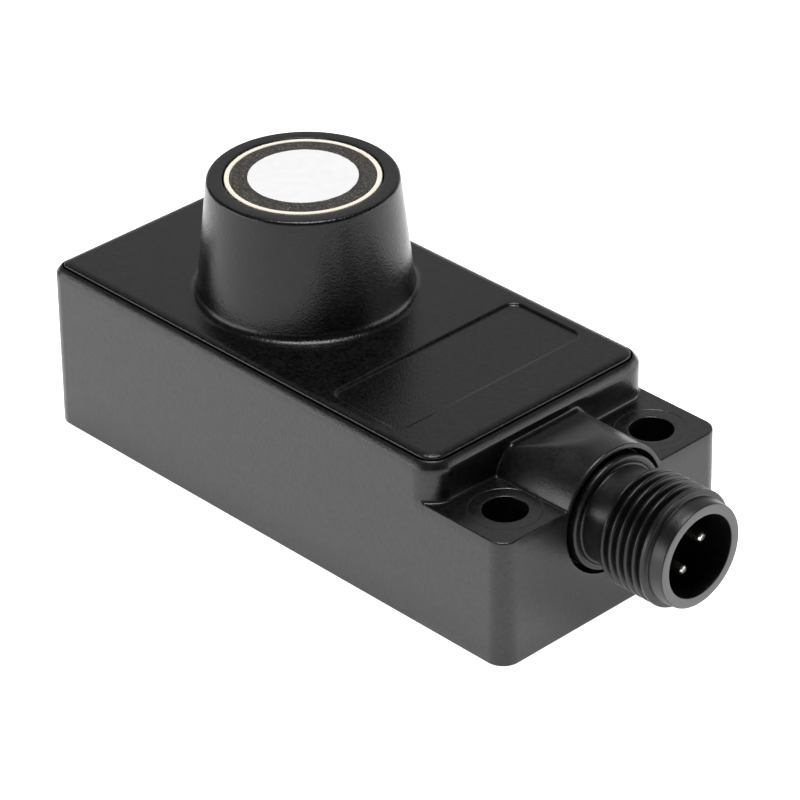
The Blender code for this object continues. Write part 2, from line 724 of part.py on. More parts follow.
def make_connector(materials):
    make_connector_shell(materials["black_plastic"])
    carrier = cylinder(
        "contact_carrier",
        CONNECTOR_CENTRE,
        X_AXIS,
        SHELL_INNER - GAP,
        CARRIER_BACK,
        SOCKET_BOTTOM,
        materials["black_plastic"],
    )
    tail_radius = TAIL_SHARE * PIN_RADIUS
    tip = arc(0.0, PIN_TIP - PIN_RADIUS, PIN_RADIUS, 0.0, 90.0)[:-1]
    profile = [(0.0, PIN_TAIL), (tail_radius, PIN_TAIL), (tail_radius, CARRIER_BACK)]
    profile += [(PIN_RADIUS, CARRIER_BACK), *tip, (0.0, PIN_TIP)]
    for index, (pad_x, pad_y) in enumerate(CONTACT_PADS):
        place = pin_place(index)
        number = index + 1
        low = CARRIER_BACK - OVERRUN
        cut(carrier, cylinder(f"pin_hole_{number}", place, X_AXIS, PIN_HOLE, low, FRONT, steps=SMALL_STEPS))
        pin = f"contact_pin_{number}"
        turned(pin, profile, place, X_AXIS, materials["plated_pin"], closed=False, steps=SMALL_STEPS)
        middle = Vector((pad_x, pad_y, PARTS_Z)).lerp(Vector((pad_x, place[1], place[2])), 0.5)
        route = [
            (PIN_TAIL - GAP, place[1], place[2]),
            (PIN_TAIL - LEAD_STRAIGHT, place[1], place[2]),
            (middle.x + LEAD_SWING, middle.y, middle.z + LEAD_SWING),
            (pad_x, pad_y, PARTS_Z + LEAD_STRAIGHT),
            (pad_x, pad_y, PARTS_Z),
        ]
        wire(f"contact_lead_{number}", route, CONTACT_LEAD_RADIUS, materials[CONTACT_COLORS[index]])
    nut_inner = SHELL_REAR_RADIUS + GAP
    nut_profile = [(nut_inner, NUT[0]), (NUT_RADIUS, NUT[0]), (NUT_RADIUS, NUT[1]), (nut_inner, NUT[1])]
    nut = turned(
        "connector_ring_nut", nut_profile, CONNECTOR_CENTRE, X_AXIS, materials["nickel_plate"]
    )
    for i in range(NUT_SLOTS):
        slot = block(
            f"spanner_slot_{i + 1}",
            (NUT[0] - OVERRUN, NUT_RADIUS - SLOT_DEPTH, -SLOT_HALF_WIDTH),
            (NUT[0] + SLOT_LENGTH, NUT_RADIUS + OVERRUN, SLOT_HALF_WIDTH),
        )
        turn = Matrix.Rotation(2.0 * math.pi * i / NUT_SLOTS, 4, "X")
        slot.matrix_world = Matrix.Translation(CONNECTOR_CENTRE) @ turn
        cut(nut, slot)
    ring_x = 0.5 * (RECESS_FLOOR + FLANGE[0])
    ring_profile = arc(SEAL_RING_RADIUS, ring_x, SEAL_RING_SECTION, 0.0, 360.0, SEAL_RING_STEPS)[:-1]
    turned("connector_seal_ring", ring_profile, CONNECTOR_CENTRE, X_AXIS, materials["seal_rubber"])


def centred_block(name, middle, size, lift, material, chamfer):
    """A block standing on the board, given by its middle and its length, width and height."""
    x, y = middle
    length, width, height = size
    low = (x - 0.5 * length, y - 0.5 * width, PARTS_Z + lift)
    high = (x + 0.5 * length, y + 0.5 * width, PARTS_Z + height)
    return block(name, low, high, material, chamfer)


def make_chip(name, middle, size, legs, material):
    """A chip whose legs come out of both long sides and bend down to the board."""
    x, y = middle
    length, width, height = size
    chip = centred_block(name, middle, size, CHIP_CLEARANCE, material, LEG_THICK)
    spacing = length / legs
    knee_top = PARTS_Z + 0.5 * height
    toe_top = PARTS_Z + LEG_THICK
    side_view = [
        (0.5 * width - LEG_ROOT, knee_top),
        (0.5 * width + LEG_KNEE, knee_top),
        (0.5 * width + LEG_KNEE + LEG_THICK, toe_top),
        (0.5 * width + LEG_TOE, toe_top),
        (0.5 * width + LEG_TOE, PARTS_Z),
        (0.5 * width + LEG_KNEE, PARTS_Z),
        (0.5 * width + LEG_KNEE - LEG_THICK, knee_top - LEG_THICK),
        (0.5 * width - LEG_ROOT, knee_top - LEG_THICK),
    ]
    for i in range(legs):
        leg_x = x - 0.5 * length + spacing * (i + 0.5)
        faces = (leg_x - 0.5 * LEG_WIDTH, leg_x + 0.5 * LEG_WIDTH)
        for side, label in ((-1.0, "low"), (1.0, "high")):
            rings = [[(face, y + side * out, z) for out, z in side_view] for face in faces]
            fuse(chip, loft(f"{name}_leg_{i}_{label}", rings))


def make_crystal(material):
    """A metal can with rounded ends on a wider foot."""

    def outline(inset):
        half = 0.5 * CRYSTAL_LENGTH
        corner = CRYSTAL_CORNER
        points = rounded_outline(-half, half, CRYSTAL_HALF_WIDTH, corner, corner, inset)
        return [(x + CRYSTAL_MIDDLE[0], y + CRYSTAL_MIDDLE[1]) for x, y in points]

    top = PARTS_Z + CRYSTAL_HEIGHT
    stations = [
        (PARTS_Z, 0.0),
        (PARTS_Z + CRYSTAL_FLANGE, 0.0),
        (PARTS_Z + CRYSTAL_FLANGE, CRYSTAL_FLANGE),
        (top - CRYSTAL_EDGE, CRYSTAL_FLANGE),
        (top, CRYSTAL_FLANGE + CRYSTAL_EDGE),
    ]
    slab("crystal_resonator", outline, stations, material)


def make_storage_capacitor(material):
    """A drawn can with a crimped groove near its foot."""
    crimp = PARTS_Z + CAN_CRIMP
    top = PARTS_Z + CAN_HEIGHT
    profile = [
        (CAN_RADIUS, PARTS_Z),
        (CAN_RADIUS, crimp - CAN_EDGE),
        (CAN_RADIUS - CAN_CRIMP_DEPTH, crimp),
        (CAN_RADIUS, crimp + CAN_EDGE),
        (CAN_RADIUS, top - CAN_EDGE),
        (CAN_RADIUS - CAN_EDGE, top),
    ]
    stepped_cylinder("storage_capacitor", CAN_MIDDLE, Z_AXIS, profile, material, HOLE_STEPS)


def make_board(materials):
    def resin_outline(inset):
        low_x = -HALF_LENGTH + WALL + GAP
        high_x = BODY_END - WALL - GAP
        half = HALF_WIDTH - WALL - GAP
        return rounded_outline(low_x, high_x, half, RESIN_CORNER, RESIN_CORNER, inset)

    resin_stations = [(FLOOR + GAP, 0.0), (RESIN_TOP, 0.0)]
    slab("resin_bed", resin_outline, resin_stations, materials["cast_resin"])

    def board_outline(inset):
        return rounded_outline(*BOARD_X, BOARD_HALF, BOARD_CORNER, BOARD_CORNER, inset)

    board_stations = [(BOARD[0], 0.0), (BOARD[1], 0.0)]
    slab("main_circuit_board", board_outline, board_stations, materials["board"])
    for name, middle, size, legs in LEGGED_CHIPS:
        make_chip(name, middle, size, legs, materials["chip_black"])
    for name, material, middle, size, chamfer in BLOCK_PARTS:
        centred_block(name, middle, size, 0.0, materials[material], chamfer)
    make_crystal(materials["nickel_plate"])
    make_storage_capacitor(materials["capacitor_can"])
    bead = [(BEAD_RADIUS, PARTS_Z)] + arc(0.0, PARTS_Z + BEAD_CENTRE, BEAD_RADIUS, 0.0, 75.0)
    stepped_cylinder("temperature_sensor", BEAD_MIDDLE, Z_AXIS, bead, materials["sensor_bead"], SMALL_STEPS)
    make_transformer(materials)


def make_transformer(materials):
    """A ferrite core with three legs, and the coil round its middle leg."""
    low = (CORE_X - CORE_HALF_LENGTH, -CORE_HALF_WIDTH, PARTS_Z)
    high = (CORE_X + CORE_HALF_LENGTH, CORE_HALF_WIDTH, PARTS_Z + CORE_HEIGHT)
    core = block("transformer_core", low, high, materials["ferrite"], CORE_EDGE)
    window_low = PARTS_Z + CORE_YOKE
    window_high = PARTS_Z + CORE_HEIGHT - CORE_YOKE
    window_side = CORE_HALF_WIDTH - CORE_WALL
    for side, label in ((-1.0, "low"), (1.0, "high")):
        edges = sorted((side * CORE_LEG, side * window_side))
        window = block(
            f"core_window_{label}",
            (low[0] - OVERRUN, edges[0], window_low),
            (high[0] + OVERRUN, edges[1], window_high),
        )
        cut(core, window)
    coil_low = window_low + GAP
    coil_high = window_high - GAP
    coil_side = window_side - GAP
    coil = block(
        "transformer_coil",
        (low[0] - COIL_REACH, -coil_side, coil_low),
        (high[0] + COIL_REACH, coil_side, coil_high),
        materials["copper_wire"],
    )
    coil_hole = block(
        "coil_hole",
        (low[0] - GAP, -CORE_LEG - GAP, coil_low - OVERRUN),
        (high[0] + GAP, CORE_LEG + GAP, coil_high + OVERRUN),
    )
    cut(coil, coil_hole)


def make_materials():
    colors = {
        "dark_housing": ((0.035, 0.035, 0.037), 0.55, 0.0),
        "painted_cover": ((0.012, 0.012, 0.013), 0.32, 0.0),
        "black_plastic": ((0.022, 0.022, 0.024), 0.45, 0.0),
        "seal_rubber": ((0.02, 0.02, 0.02), 0.7, 0.0),
        "cream_silicone": ((0.76, 0.69, 0.56), 0.6, 0.0),
        "filled_resin": ((0.16, 0.145, 0.13), 0.75, 0.0),
        "white_coating": ((0.9, 0.9, 0.9), 0.6, 0.0),
        "ceramic": ((0.72, 0.68, 0.58), 0.5, 0.0),
        "damping_resin": ((0.08, 0.08, 0.09), 0.7, 0.0),
        "cast_resin": ((0.03, 0.03, 0.035), 0.4, 0.0),
        "board": ((0.02, 0.17, 0.06), 0.45, 0.0),
        "chip_black": ((0.03, 0.03, 0.03), 0.5, 0.0),
        "capacitor_amber": ((0.75, 0.5, 0.1), 0.45, 0.0),
        "capacitor_can": ((0.75, 0.75, 0.77), 0.3, 1.0),
        "sensor_bead": ((0.02, 0.02, 0.02), 0.3, 0.0),
        "ferrite": ((0.05, 0.05, 0.055), 0.6, 0.0),
        "copper_wire": ((0.75, 0.35, 0.15), 0.35, 1.0),
        "nickel_plate": ((0.7, 0.69, 0.66), 0.3, 1.0),
        "plated_pin": ((0.78, 0.77, 0.74), 0.25, 1.0),
        "red_wire": ((0.6, 0.03, 0.02), 0.5, 0.0),
        "black_wire": ((0.02, 0.02, 0.02), 0.5, 0.0),
        "brown_wire": ((0.2, 0.08, 0.03), 0.5, 0.0),
        "white_wire": ((0.8, 0.8, 0.78), 0.5, 0.0),
        "blue_wire": ((0.03, 0.1, 0.5), 0.5, 0.0),
    }
    return {name: make_material(name, *values) for name, values in colors.items()}


def main():
    clear_scene()
    materials = make_materials()
    make_housing(materials["dark_housing"])
    make_cover(materials["painted_cover"])
    make_cover_seal(materials["seal_rubber"])
    make_transducer(materials)
    make_connector(materials)
    make_board(materials)


main()
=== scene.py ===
"""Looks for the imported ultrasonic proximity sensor: detailed visible pieces, materials, light and camera.

Lengths below are in millimetres unless a name or comment says otherwise; meshes are written in metres.
Axes: X runs along the body to the connector, Y across it, Z up from the base.
"""

import math

import bmesh
import bpy
from mathutils import Matrix, Vector, noise
from mathutils.geometry import delaunay_2d_cdt


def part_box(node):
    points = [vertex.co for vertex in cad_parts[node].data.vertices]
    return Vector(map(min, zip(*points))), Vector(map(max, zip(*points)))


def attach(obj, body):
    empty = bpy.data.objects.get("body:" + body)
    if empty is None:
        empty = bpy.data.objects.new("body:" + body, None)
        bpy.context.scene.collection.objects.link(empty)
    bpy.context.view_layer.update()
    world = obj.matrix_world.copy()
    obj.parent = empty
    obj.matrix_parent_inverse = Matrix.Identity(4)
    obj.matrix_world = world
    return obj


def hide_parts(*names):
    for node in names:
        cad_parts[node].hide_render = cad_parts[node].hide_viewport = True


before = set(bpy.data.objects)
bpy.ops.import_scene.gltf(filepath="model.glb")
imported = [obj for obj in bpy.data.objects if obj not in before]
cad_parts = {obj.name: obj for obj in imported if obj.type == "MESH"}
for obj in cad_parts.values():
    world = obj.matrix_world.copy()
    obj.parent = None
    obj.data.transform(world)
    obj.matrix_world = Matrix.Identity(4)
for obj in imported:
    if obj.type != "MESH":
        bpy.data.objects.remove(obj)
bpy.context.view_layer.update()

MM = 0.001
WELD = 0.004  # points closer than this are one point
BODY = "root"


def box_mm(node):
    """Lowest and highest corner of a CAD node in millimetres."""
    low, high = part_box(node)
    return tuple(low / MM), tuple(high / MM)


# ---- driving sizes, taken from the frame where a node shows them ----
housing_low, housing_high = box_mm("housing")
cover_low, cover_high = box_mm("top_cover")
shell_low, shell_high = box_mm("connector_shell")
disc_low, disc_high = box_mm("face_disc")

HALF_LENGTH = housing_high[0]
HALF_WIDTH = housing_high[1]
RIM_TOP = housing_high[2]
FACE_TOP = disc_high[2]
TOWER_TOP = cover_high[2]
TOWER_X = 0.5 * (disc_low[0] + disc_high[0])
AXIS_Z = 0.5 * (shell_low[2] + shell_high[2])
FRONT = shell_high[0]

DRAFT = 0.006  # how far the outer walls lean in per unit of height
BODY_END = 23.15  # where the full-height body stops and the ears begin
EAR_TOP = 13.8
FAR_CORNER = 2.0
EAR_CORNER = 2.0
BODY_CORNER = 2.8
FOOT_ROUND = 0.35  # hollow round where the ears and the hood meet the walls
EAR_ROUND = 0.2
RIM_ACROSS = 0.57  # the rim falls away to the wall over this width and height
RIM_DROP = 0.7
RIM_CONTROL = (0.32, 0.145)  # control point of that slope: across from the wall, down from the top
BASE_ROUND = 0.12
HOLE_ROUND = 0.12
LIP = 0.62
LIP_ROUND = 0.05
LEDGE = 16.3
WALL = 1.8
FLOOR = 1.8
HOLE_X = 27.8
HOLE_Y = 10.0
HOLE_RADIUS = 2.2
SPOT_RADIUS = 3.62  # machined ring round each ear hole
SPOT_WIDTH = 0.1
SPOT_DEPTH = 0.035

HOOD_WALL_RADIUS = 7.05
HOOD_FRONT_RADIUS = 6.9
HOOD_RIDGE = 16.38  # height of the hood's flat top at the body's end wall
HOOD_RISE = 0.247
HOOD_BLEND = 0.2
RECESS_RADIUS = 6.4
RECESS_FLOOR = 28.4
THROUGH_RADIUS = 4.9
MOUTH_ROUND = 0.14

COVER_GAP = 0.2
COVER_TOP = 18.46
COVER_BOTTOM = 17.0
COVER_TILT = math.radians(24.0)  # the plate rolls over to this tilt before its sharp edge
COVER_SOFT = 1.7
COVER_SHARP = 0.22
UNDER_ROUND = 0.1
TOWER_RADIUS = 9.6
TAPER = 0.11
TOWER_ROUND = 0.4
TOWER_FILLET = 0.95
BORE_RADIUS = 8.0
BORE_ROUND = 0.12
SEAT = 19.2
THROAT = 6.5
PANEL = (6.7, 16.2, 12.45)  # x from, x to, half width
PANEL_CORNER = 1.2
PANEL_DEPTH = 0.25
PANEL_TILT = math.radians(50.0)  # steepest part of the bend down into the panel
SKIRT_X = (-29.0, 15.0)
SKIRT_Y = (11.9, 12.9)
SKIRT_BOTTOM = 14.5

SLEEVE = (7.3, 7.8)
SLEEVE_BOTTOM = 19.5
LAYER_RADIUS = 7.27
LAYER_BOTTOM = 27.3
LAYER_TOP_DROP = 0.03
POCKET_RADIUS = 5.4
POCKET_FLOOR = 30.5
DISC_RADIUS = 5.5
DISC_STEM = 5.35

SHELL_BACK = 17.6
SHELL_REAR = 4.6
SHELL_INNER = 3.8
FLANGE = (29.9, 31.1)
FLANGE_RADIUS = 6.1
SHOULDER_RADIUS = 5.9
SHOULDER_END = 32.95
NECK_RADIUS = 4.97
THREAD_ROOT = 5.33
THREAD_CREST = 5.99
THREAD_START = 35.4
THREAD_END = 41.58
THREAD_PHASE = 0.45  # how far the crests sit along the axis
THREAD_PITCH = 1.0
COLLAR_START = 41.9
COLLAR_RADIUS = 5.46
COLLAR_FACE_RADIUS = 5.33
SOCKET_RADIUS = 4.27
SOCKET_FLOOR = 34.9
KEY_ANGLE = math.radians(-135.0)
KEY_WIDTH = 1.1
KEY_HEIGHT = 0.55
KEY_SETBACK = 2.0
PIN_RADIUS = 0.5
PIN_TAIL = 0.7 * PIN_RADIUS
PIN_STEP = 20.0  # where the thin tail meets the contact
# (radius, distance back from the tip)
PIN_TIP = ((PIN_RADIUS, 0.17), (PIN_RADIUS - 0.015, 0.13), (0.35, 0.025), (0.33, 0.006), (0.3, 0.0))
SEAM_HEIGHT = 0.022  # the mould's parting line on the shell
SEAM_COLUMN = 2
THREAD_FLANK = (1.3, 0.12)  # slope and offset that flatten the crests and roots
THREAD_FADE_IN = 0.8
THREAD_FADE_OUT = (0.2, 0.4)  # gap before the end, length
SHELL_EDGE = 0.15
SHOULDER_ROUND = 0.28
# groove between shoulder and neck: (radius, depth behind the shoulder's face)
NECK_GROOVE = ((5.36, 0.0), (5.3, 0.03), (5.24, 0.1), (5.12, 0.12), (NECK_RADIUS, 0.06))
# groove between thread and collar: (radius, along)
THREAD_RELIEF = ((5.96, 41.61), (5.88, 41.65), (5.64, 41.71), (5.45, 41.76), (5.41, 41.8))
KEY_EDGE = 0.12
SKIRT_EDGE = 0.12
DISC_WOBBLE = (0.035, 0.022)  # coarse and fine unevenness of the white film's edge

FLANK_STATIONS = (6.2, 0.045, 13)  # across the hood's flank: first y, spacing, count
EAR_STATIONS = (7.0, 12.76, 24)  # across the ear: first y, last y, steps
MIN_INSIDE = 0.008  # sheet points stay this far from an edge

# ---- points round each circle ----
PIN_STEPS = 28
HOLE_STEPS = 72
BORE_STEPS = 96
TOWER_STEPS = 180
SHELL_STEPS = 180

# ---- camera, fitted to the photograph's perspective ----
SENSOR_MM = 36.0
LENS_MM = 189.82
CAMERA_TURN = math.radians(46.485)
CAMERA_RISE = math.radians(31.491)
CAMERA_ROLL = math.radians(-0.966)
CAMERA_DISTANCE = 417.826
CAMERA_TARGET = (3.071, 0.0, 10.0)
CAMERA_SHIFT = (0.001494, 0.008323)


# ---- small numeric helpers ----
def clamp(value, low=0.0, high=1.0):
    return min(max(value, low), high)


def smooth_step(value):
    value = clamp(value)
    return value * value * (3.0 - 2.0 * value)


def mix(a, b, share):
    return a + (b - a) * share


def spread(low, high, count):
    """count + 1 evenly spaced values from low to high."""
    return [mix(low, high, i / count) for i in range(count + 1)]


def round_off(distance, radius):
    """Drop of a surface at this distance from an edge that is rounded by radius."""
    if distance >= radius:
        return 0.0
    reach = radius - max(distance, 0.0)
    return radius - math.sqrt(max(radius * radius - reach * reach, 0.0))


def smooth_min(a, b, width):
    share = clamp(0.5 + 0.5 * (b - a) / width)
    return mix(b, a, share) - width * share * (1.0 - share)


def circle_points(centre, radius, steps):
    """Points round a circle in the plane of the first two coordinates."""
    turn = 2.0 * math.pi / steps
    return [
        (centre[0] + radius * math.cos(turn * i), centre[1] + radius * math.sin(turn * i))
        for i in range(steps)
    ]


def turned_row(place, radius, along, steps):
    """One ring of a turned shape."""
    return [place(radius, along, 2.0 * math.pi * i / steps) for i in range(steps)]


def arc_profile(centre, radius, start, end, steps):
    """Points on an arc in a (radius, height) profile; the angles are in degrees."""
    made = []
    for angle in spread(math.radians(start), math.radians(end), steps):
        made.append((centre[0] + radius * math.cos(angle), centre[1] + radius * math.sin(angle)))
    return made


# ---- mesh building ----
class Patchwork:
    """Points and faces of one piece, in millimetres. Coincident points merge when it is built."""

    def __init__(self):
        self.points = []
        self.faces = []

    def face(self, points):
        start = len(self.points)
        self.points.extend(points)
        self.faces.append(tuple(range(start, start + len(points))))

    def strip(self, rows, closed=True):
        """Quads between neighbouring rows of equal length."""
        start = len(self.points)
        width = len(rows[0])
        for row in rows:
            self.points.extend(row)
        for r in range(len(rows) - 1):
            low = start + r * width
            high = low + width
            for i in range(width if closed else width - 1):
                j = (i + 1) % width
                self.faces.append((low + i, low + j, high + j, high + i))

    def sheet(self, loops, inner, keep, lift):
        """A triangulated sheet between loops; keep picks its triangles, lift makes 3-D points."""
        flat = []
        edges = []
        for loop in loops:
            start = len(flat)
            count = len(loop)
            flat.extend(Vector(p) for p in loop)
            edges.extend((start + i, start + (i + 1) % count) for i in range(count))
        flat.extend(Vector(p) for p in inner)
        made = delaunay_2d_cdt(flat, edges, [], 0, 1e-5)
        start = len(self.points)
        self.points.extend(lift(p.x, p.y) for p in made[0])
        for face in made[2]:
            middle = sum((made[0][i] for i in face), Vector((0.0, 0.0))) / len(face)
            if keep(middle.x, middle.y):
                self.faces.append(tuple(start + i for i in face))

    def turned(self, profile, place, steps, closed=False):
        """A turned shape; profile holds (radius, along) pairs and place makes 3-D points from them."""
        rows = [turned_row(place, radius, along, steps) for radius, along in profile]
        self.strip(rows + rows[:1] if closed else rows)

    def turned_solid(self, profile, place, steps):
        """A turned shape with a flat face at each end of its profile."""
        self.turned(profile, place, steps)
        for radius, along in (profile[0], profile[-1]):
            self.face(turned_row(place, radius, along, steps))

    def build(self, name, material):
        mesh_data = bmesh.new()
        verts = [mesh_data.verts.new([c * MM for c in p]) for p in self.points]
        for face in self.faces:
            mesh_data.faces.new([verts[i] for i in face])
        bmesh.ops.remove_doubles(mesh_data, verts=mesh_data.verts, dist=WELD * MM)
        bmesh.ops.dissolve_degenerate(mesh_data, edges=mesh_data.edges, dist=0.0005 * MM)
        bmesh.ops.recalc_face_normals(mesh_data, faces=mesh_data.faces)
        for face in mesh_data.faces:
            face.smooth = True
        mesh = bpy.data.meshes.new(name)
        mesh_data.to_mesh(mesh)
        mesh_data.free()
        obj = bpy.data.objects.new(name, mesh)
        bpy.context.scene.collection.objects.link(obj)
        mesh.materials.append(material)
        shading = obj.modifiers.new("even_shading", "WEIGHTED_NORMAL")
        shading.keep_sharp = False
        shading.weight = 60
        return obj


class PointPicker:
    """Collects sheet points, leaving out any that crowd the ones already taken."""

    CELL = 0.5

    def __init__(self, taken):
        self.cells = {}
        self.points = []
        for point in taken:
            self.remember(point)

    def key(self, point):
        return (math.floor(point[0] / self.CELL), math.floor(point[1] / self.CELL))

    def remember(self, point):
        self.cells.setdefault(self.key(point), []).append(point)

    def crowded(self, point, gap):
        cx, cy = self.key(point)
        for ix in (cx - 1, cx, cx + 1):
            for iy in (cy - 1, cy, cy + 1):
                for other in self.cells.get((ix, iy), ()):
                    if math.hypot(point[0] - other[0], point[1] - other[1]) < gap:
                        return True
        return False

    def offer(self, points, gap, allowed):
        for point in points:
            if allowed(*point) and not self.crowded(point, gap):
                self.remember(point)
                self.points.append(point)


def about_z(centre_x):
    """Places a turned point on the upright axis of the tower."""
    return lambda radius, along, angle: (
        centre_x + radius * math.cos(angle),
        radius * math.sin(angle),
        along,
    )


def about_x(centre_y=0.0, centre_z=AXIS_Z):
    """Places a turned point on an axis that runs along the body."""
    return lambda radius, along, angle: (
        along,
        centre_y + radius * math.cos(angle),
        centre_z + radius * math.sin(angle),
    )


# ---- outlines: (x, y, inward x, inward y) at the base ----
def straight(start, end, inward, stations):
    return [(mix(start[0], end[0], t), mix(start[1], end[1], t), *inward) for t in stations]


def corner(centre, radius, start, end, steps):
    made = []
    for angle in spread(math.radians(start), math.radians(end), steps):
        c = math.cos(angle)
        s = math.sin(angle)
        made.append((centre[0] + radius * c, centre[1] + radius * s, -c, -s))
    return made


def inset_point(entry, inset):
    return (entry[0] + entry[2] * inset, entry[1] + entry[3] * inset)


def inset_loop(path, inset):
    return [inset_point(entry, inset) for entry in path]


def wall_point(entry, z):
    x, y = inset_point(entry, DRAFT * z)
    return (x, y, z)


def across_values():
    """Stations across the hood, finest at its flanks, as values of y from -limit to +limit."""
    half = []
    radius = 0.5 * (HOOD_WALL_RADIUS + HOOD_FRONT_RADIUS)
    half += [radius * math.sin(math.radians(angle)) for angle in range(0, 62, 2)]
    first, step, count = FLANK_STATIONS
    half += [first + step * i for i in range(count)]
    half += spread(*EAR_STATIONS)
    return [-y for y in half[:0:-1]] + half


ACROSS = across_values()
CUSP_X = BODY_END - BODY_CORNER
CORNER_STEPS = 14


def back_path():
    """From the far cusp round the connector-less end to the near cusp."""
    inner_x = -HALF_LENGTH + FAR_CORNER
    inner_y = HALF_WIDTH - FAR_CORNER
    along = spread(0.0, 1.0, 40)
    path = straight((CUSP_X, HALF_WIDTH), (inner_x, HALF_WIDTH), (0.0, -1.0), along[:-1])
    path += corner((inner_x, inner_y), FAR_CORNER, 90.0, 180.0, CORNER_STEPS)
    end = spread(0.0, 1.0, 22)
    path += straight((-HALF_LENGTH, inner_y), (-HALF_LENGTH, -inner_y), (1.0, 0.0), end[1:-1])
    path += corner((inner_x, -inner_y), FAR_CORNER, 180.0, 270.0, CORNER_STEPS)
    path += straight((inner_x, -HALF_WIDTH), (CUSP_X, -HALF_WIDTH), (0.0, 1.0), along[1:])
    return path


def end_path(x_end, radius, cusp_to_corner):
    """From the near cusp along the near side, across the end at x_end, and back to the far cusp."""
    inner_x = x_end - radius
    inner_y = HALF_WIDTH - radius
    count = cusp_to_corner
    side = spread(0.0, 1.0, count) if count else []
    near = straight((CUSP_X, -HALF_WIDTH), (inner_x, -HALF_WIDTH), (0.0, 1.0), side[:-1])
    far = straight((inner_x, HALF_WIDTH), (CUSP_X, HALF_WIDTH), (0.0, -1.0), side[1:])
    first = corner((inner_x, -inner_y), radius, -90.0, 0.0, CORNER_STEPS)
    last = corner((inner_x, inner_y), radius, 0.0, 90.0, CORNER_STEPS)
    middle = [(x_end, y, -1.0, 0.0) for y in ACROSS if abs(y) < inner_y - 0.2]
    return near + first, middle, last + far


def corner_distance(x, y, centre_x, centre_y, radius, end_x, side_y):
    """Signed distance inside an outline with one rounded corner, mirrored across y = 0."""
    px = x - centre_x
    py = abs(y) - centre_y
    if px > 0.0 and py > 0.0:
        return radius - math.hypot(px, py)
    return min(end_x - x, side_y - abs(y))


EAR_INSET = DRAFT * EAR_TOP


def edge_distance(x, y):
    """Distance in from the outer edge of the ears' top."""
    return corner_distance(
        x,
        y,
        HALF_LENGTH - EAR_CORNER,
        HALF_WIDTH - EAR_CORNER,
        EAR_CORNER - EAR_INSET,
        HALF_LENGTH - EAR_INSET,
        HALF_WIDTH - EAR_INSET,
    )


def wall_distance(x, y):
    """Distance out from the foot of the full-height body."""
    return -corner_distance(
        x,
        y,
        CUSP_X,
        HALF_WIDTH - BODY_CORNER,
        BODY_CORNER - EAR_INSET,
        BODY_END - EAR_INSET,
        HALF_WIDTH - EAR_INSET,
    )


def hole_distance(x, y):
    return math.hypot(x - HOLE_X, abs(y) - HOLE_Y) - HOLE_RADIUS


def hood_height(x, y):
    """Height of the ears' top, or of the hood where that is higher, with a hollow round between them."""
    share = clamp((x - BODY_END) / (HALF_LENGTH - BODY_END))
    radius = mix(HOOD_WALL_RADIUS, HOOD_FRONT_RADIUS, share)
    lift = EAR_TOP + FOOT_ROUND - AXIS_Z
    outer = math.sqrt((radius + FOOT_ROUND) ** 2 - lift * lift)
    tangent = radius * outer / (radius + FOOT_ROUND)
    across = abs(y)
    if across >= outer:
        return EAR_TOP
    if across >= tangent:
        height = EAR_TOP + FOOT_ROUND - math.sqrt(max(FOOT_ROUND**2 - (across - outer) ** 2, 0.0))
    else:
        height = AXIS_Z + math.sqrt(radius * radius - across * across)
    return smooth_min(height, HOOD_RIDGE + HOOD_RISE * (x - BODY_END), HOOD_BLEND)


def top_height(x, y):
    height = hood_height(x, y)
    height -= round_off(edge_distance(x, y), EAR_ROUND)
    height += round_off(wall_distance(x, y), FOOT_ROUND)
    hole = hole_distance(x, y)
    height -= round_off(hole, HOLE_ROUND)
    ring = (SPOT_RADIUS - HOLE_RADIUS - hole) / SPOT_WIDTH
    return height - SPOT_DEPTH * smooth_step(ring)


def top_point(x, y):
    height = top_height(x, y)
    return (x - DRAFT * (height - EAR_TOP), y, height)


def ear_top_points(taken, ear_path, body_path):
    """Points inside the ears' top: rings near each edge, a grid over the hood, and a loose grid elsewhere."""
    picker = PointPicker(taken)

    def allowed(x, y):
        return min(edge_distance(x, y), wall_distance(x, y), hole_distance(x, y)) > MIN_INSIDE

    shares = (0.1, 0.25, 0.45, 0.7, 1.0, 1.4, 2.0)
    for share in shares:
        picker.offer(inset_loop(ear_path, EAR_INSET + EAR_ROUND * share), 0.012, allowed)
        picker.offer(inset_loop(body_path, EAR_INSET - FOOT_ROUND * share), 0.012, allowed)
    for side in (-1.0, 1.0):
        centre = (HOLE_X, side * HOLE_Y)
        for share in shares[:5]:
            radius = HOLE_RADIUS + HOLE_ROUND * share
            picker.offer(circle_points(centre, radius, HOLE_STEPS), 0.012, allowed)
        for offset in (-0.12, -0.1, -0.07, -0.05, -0.03, 0.0, 0.03):
            picker.offer(circle_points(centre, SPOT_RADIUS + offset, 2 * HOLE_STEPS), 0.012, allowed)
    hood_x = spread(BODY_END, HALF_LENGTH, 32)
    hood_y = [y for y in ACROSS if abs(y) < 7.5]
    picker.offer([(x, y) for x in hood_x for y in hood_y], 0.035, allowed)
    loose_x = spread(CUSP_X, HALF_LENGTH, 22)
    loose_y = spread(-HALF_WIDTH, HALF_WIDTH, 54)
    picker.offer([(x, y) for x in loose_x for y in loose_y], 0.3, allowed)
    return picker.points


LOW_LEVELS = spread(0.0, 1.0, 12)
HIGH_LEVELS = spread(0.0, 1.0, 5)


def level_rows(path, levels, low_of, high_of, place):
    """Rows of wall points; low_of and high_of give each column's first and last height."""
    rows = []
    for level in levels:
        rows.append([place(e, mix(low_of(i), high_of(i), level)) for i, e in enumerate(path)])
    return rows


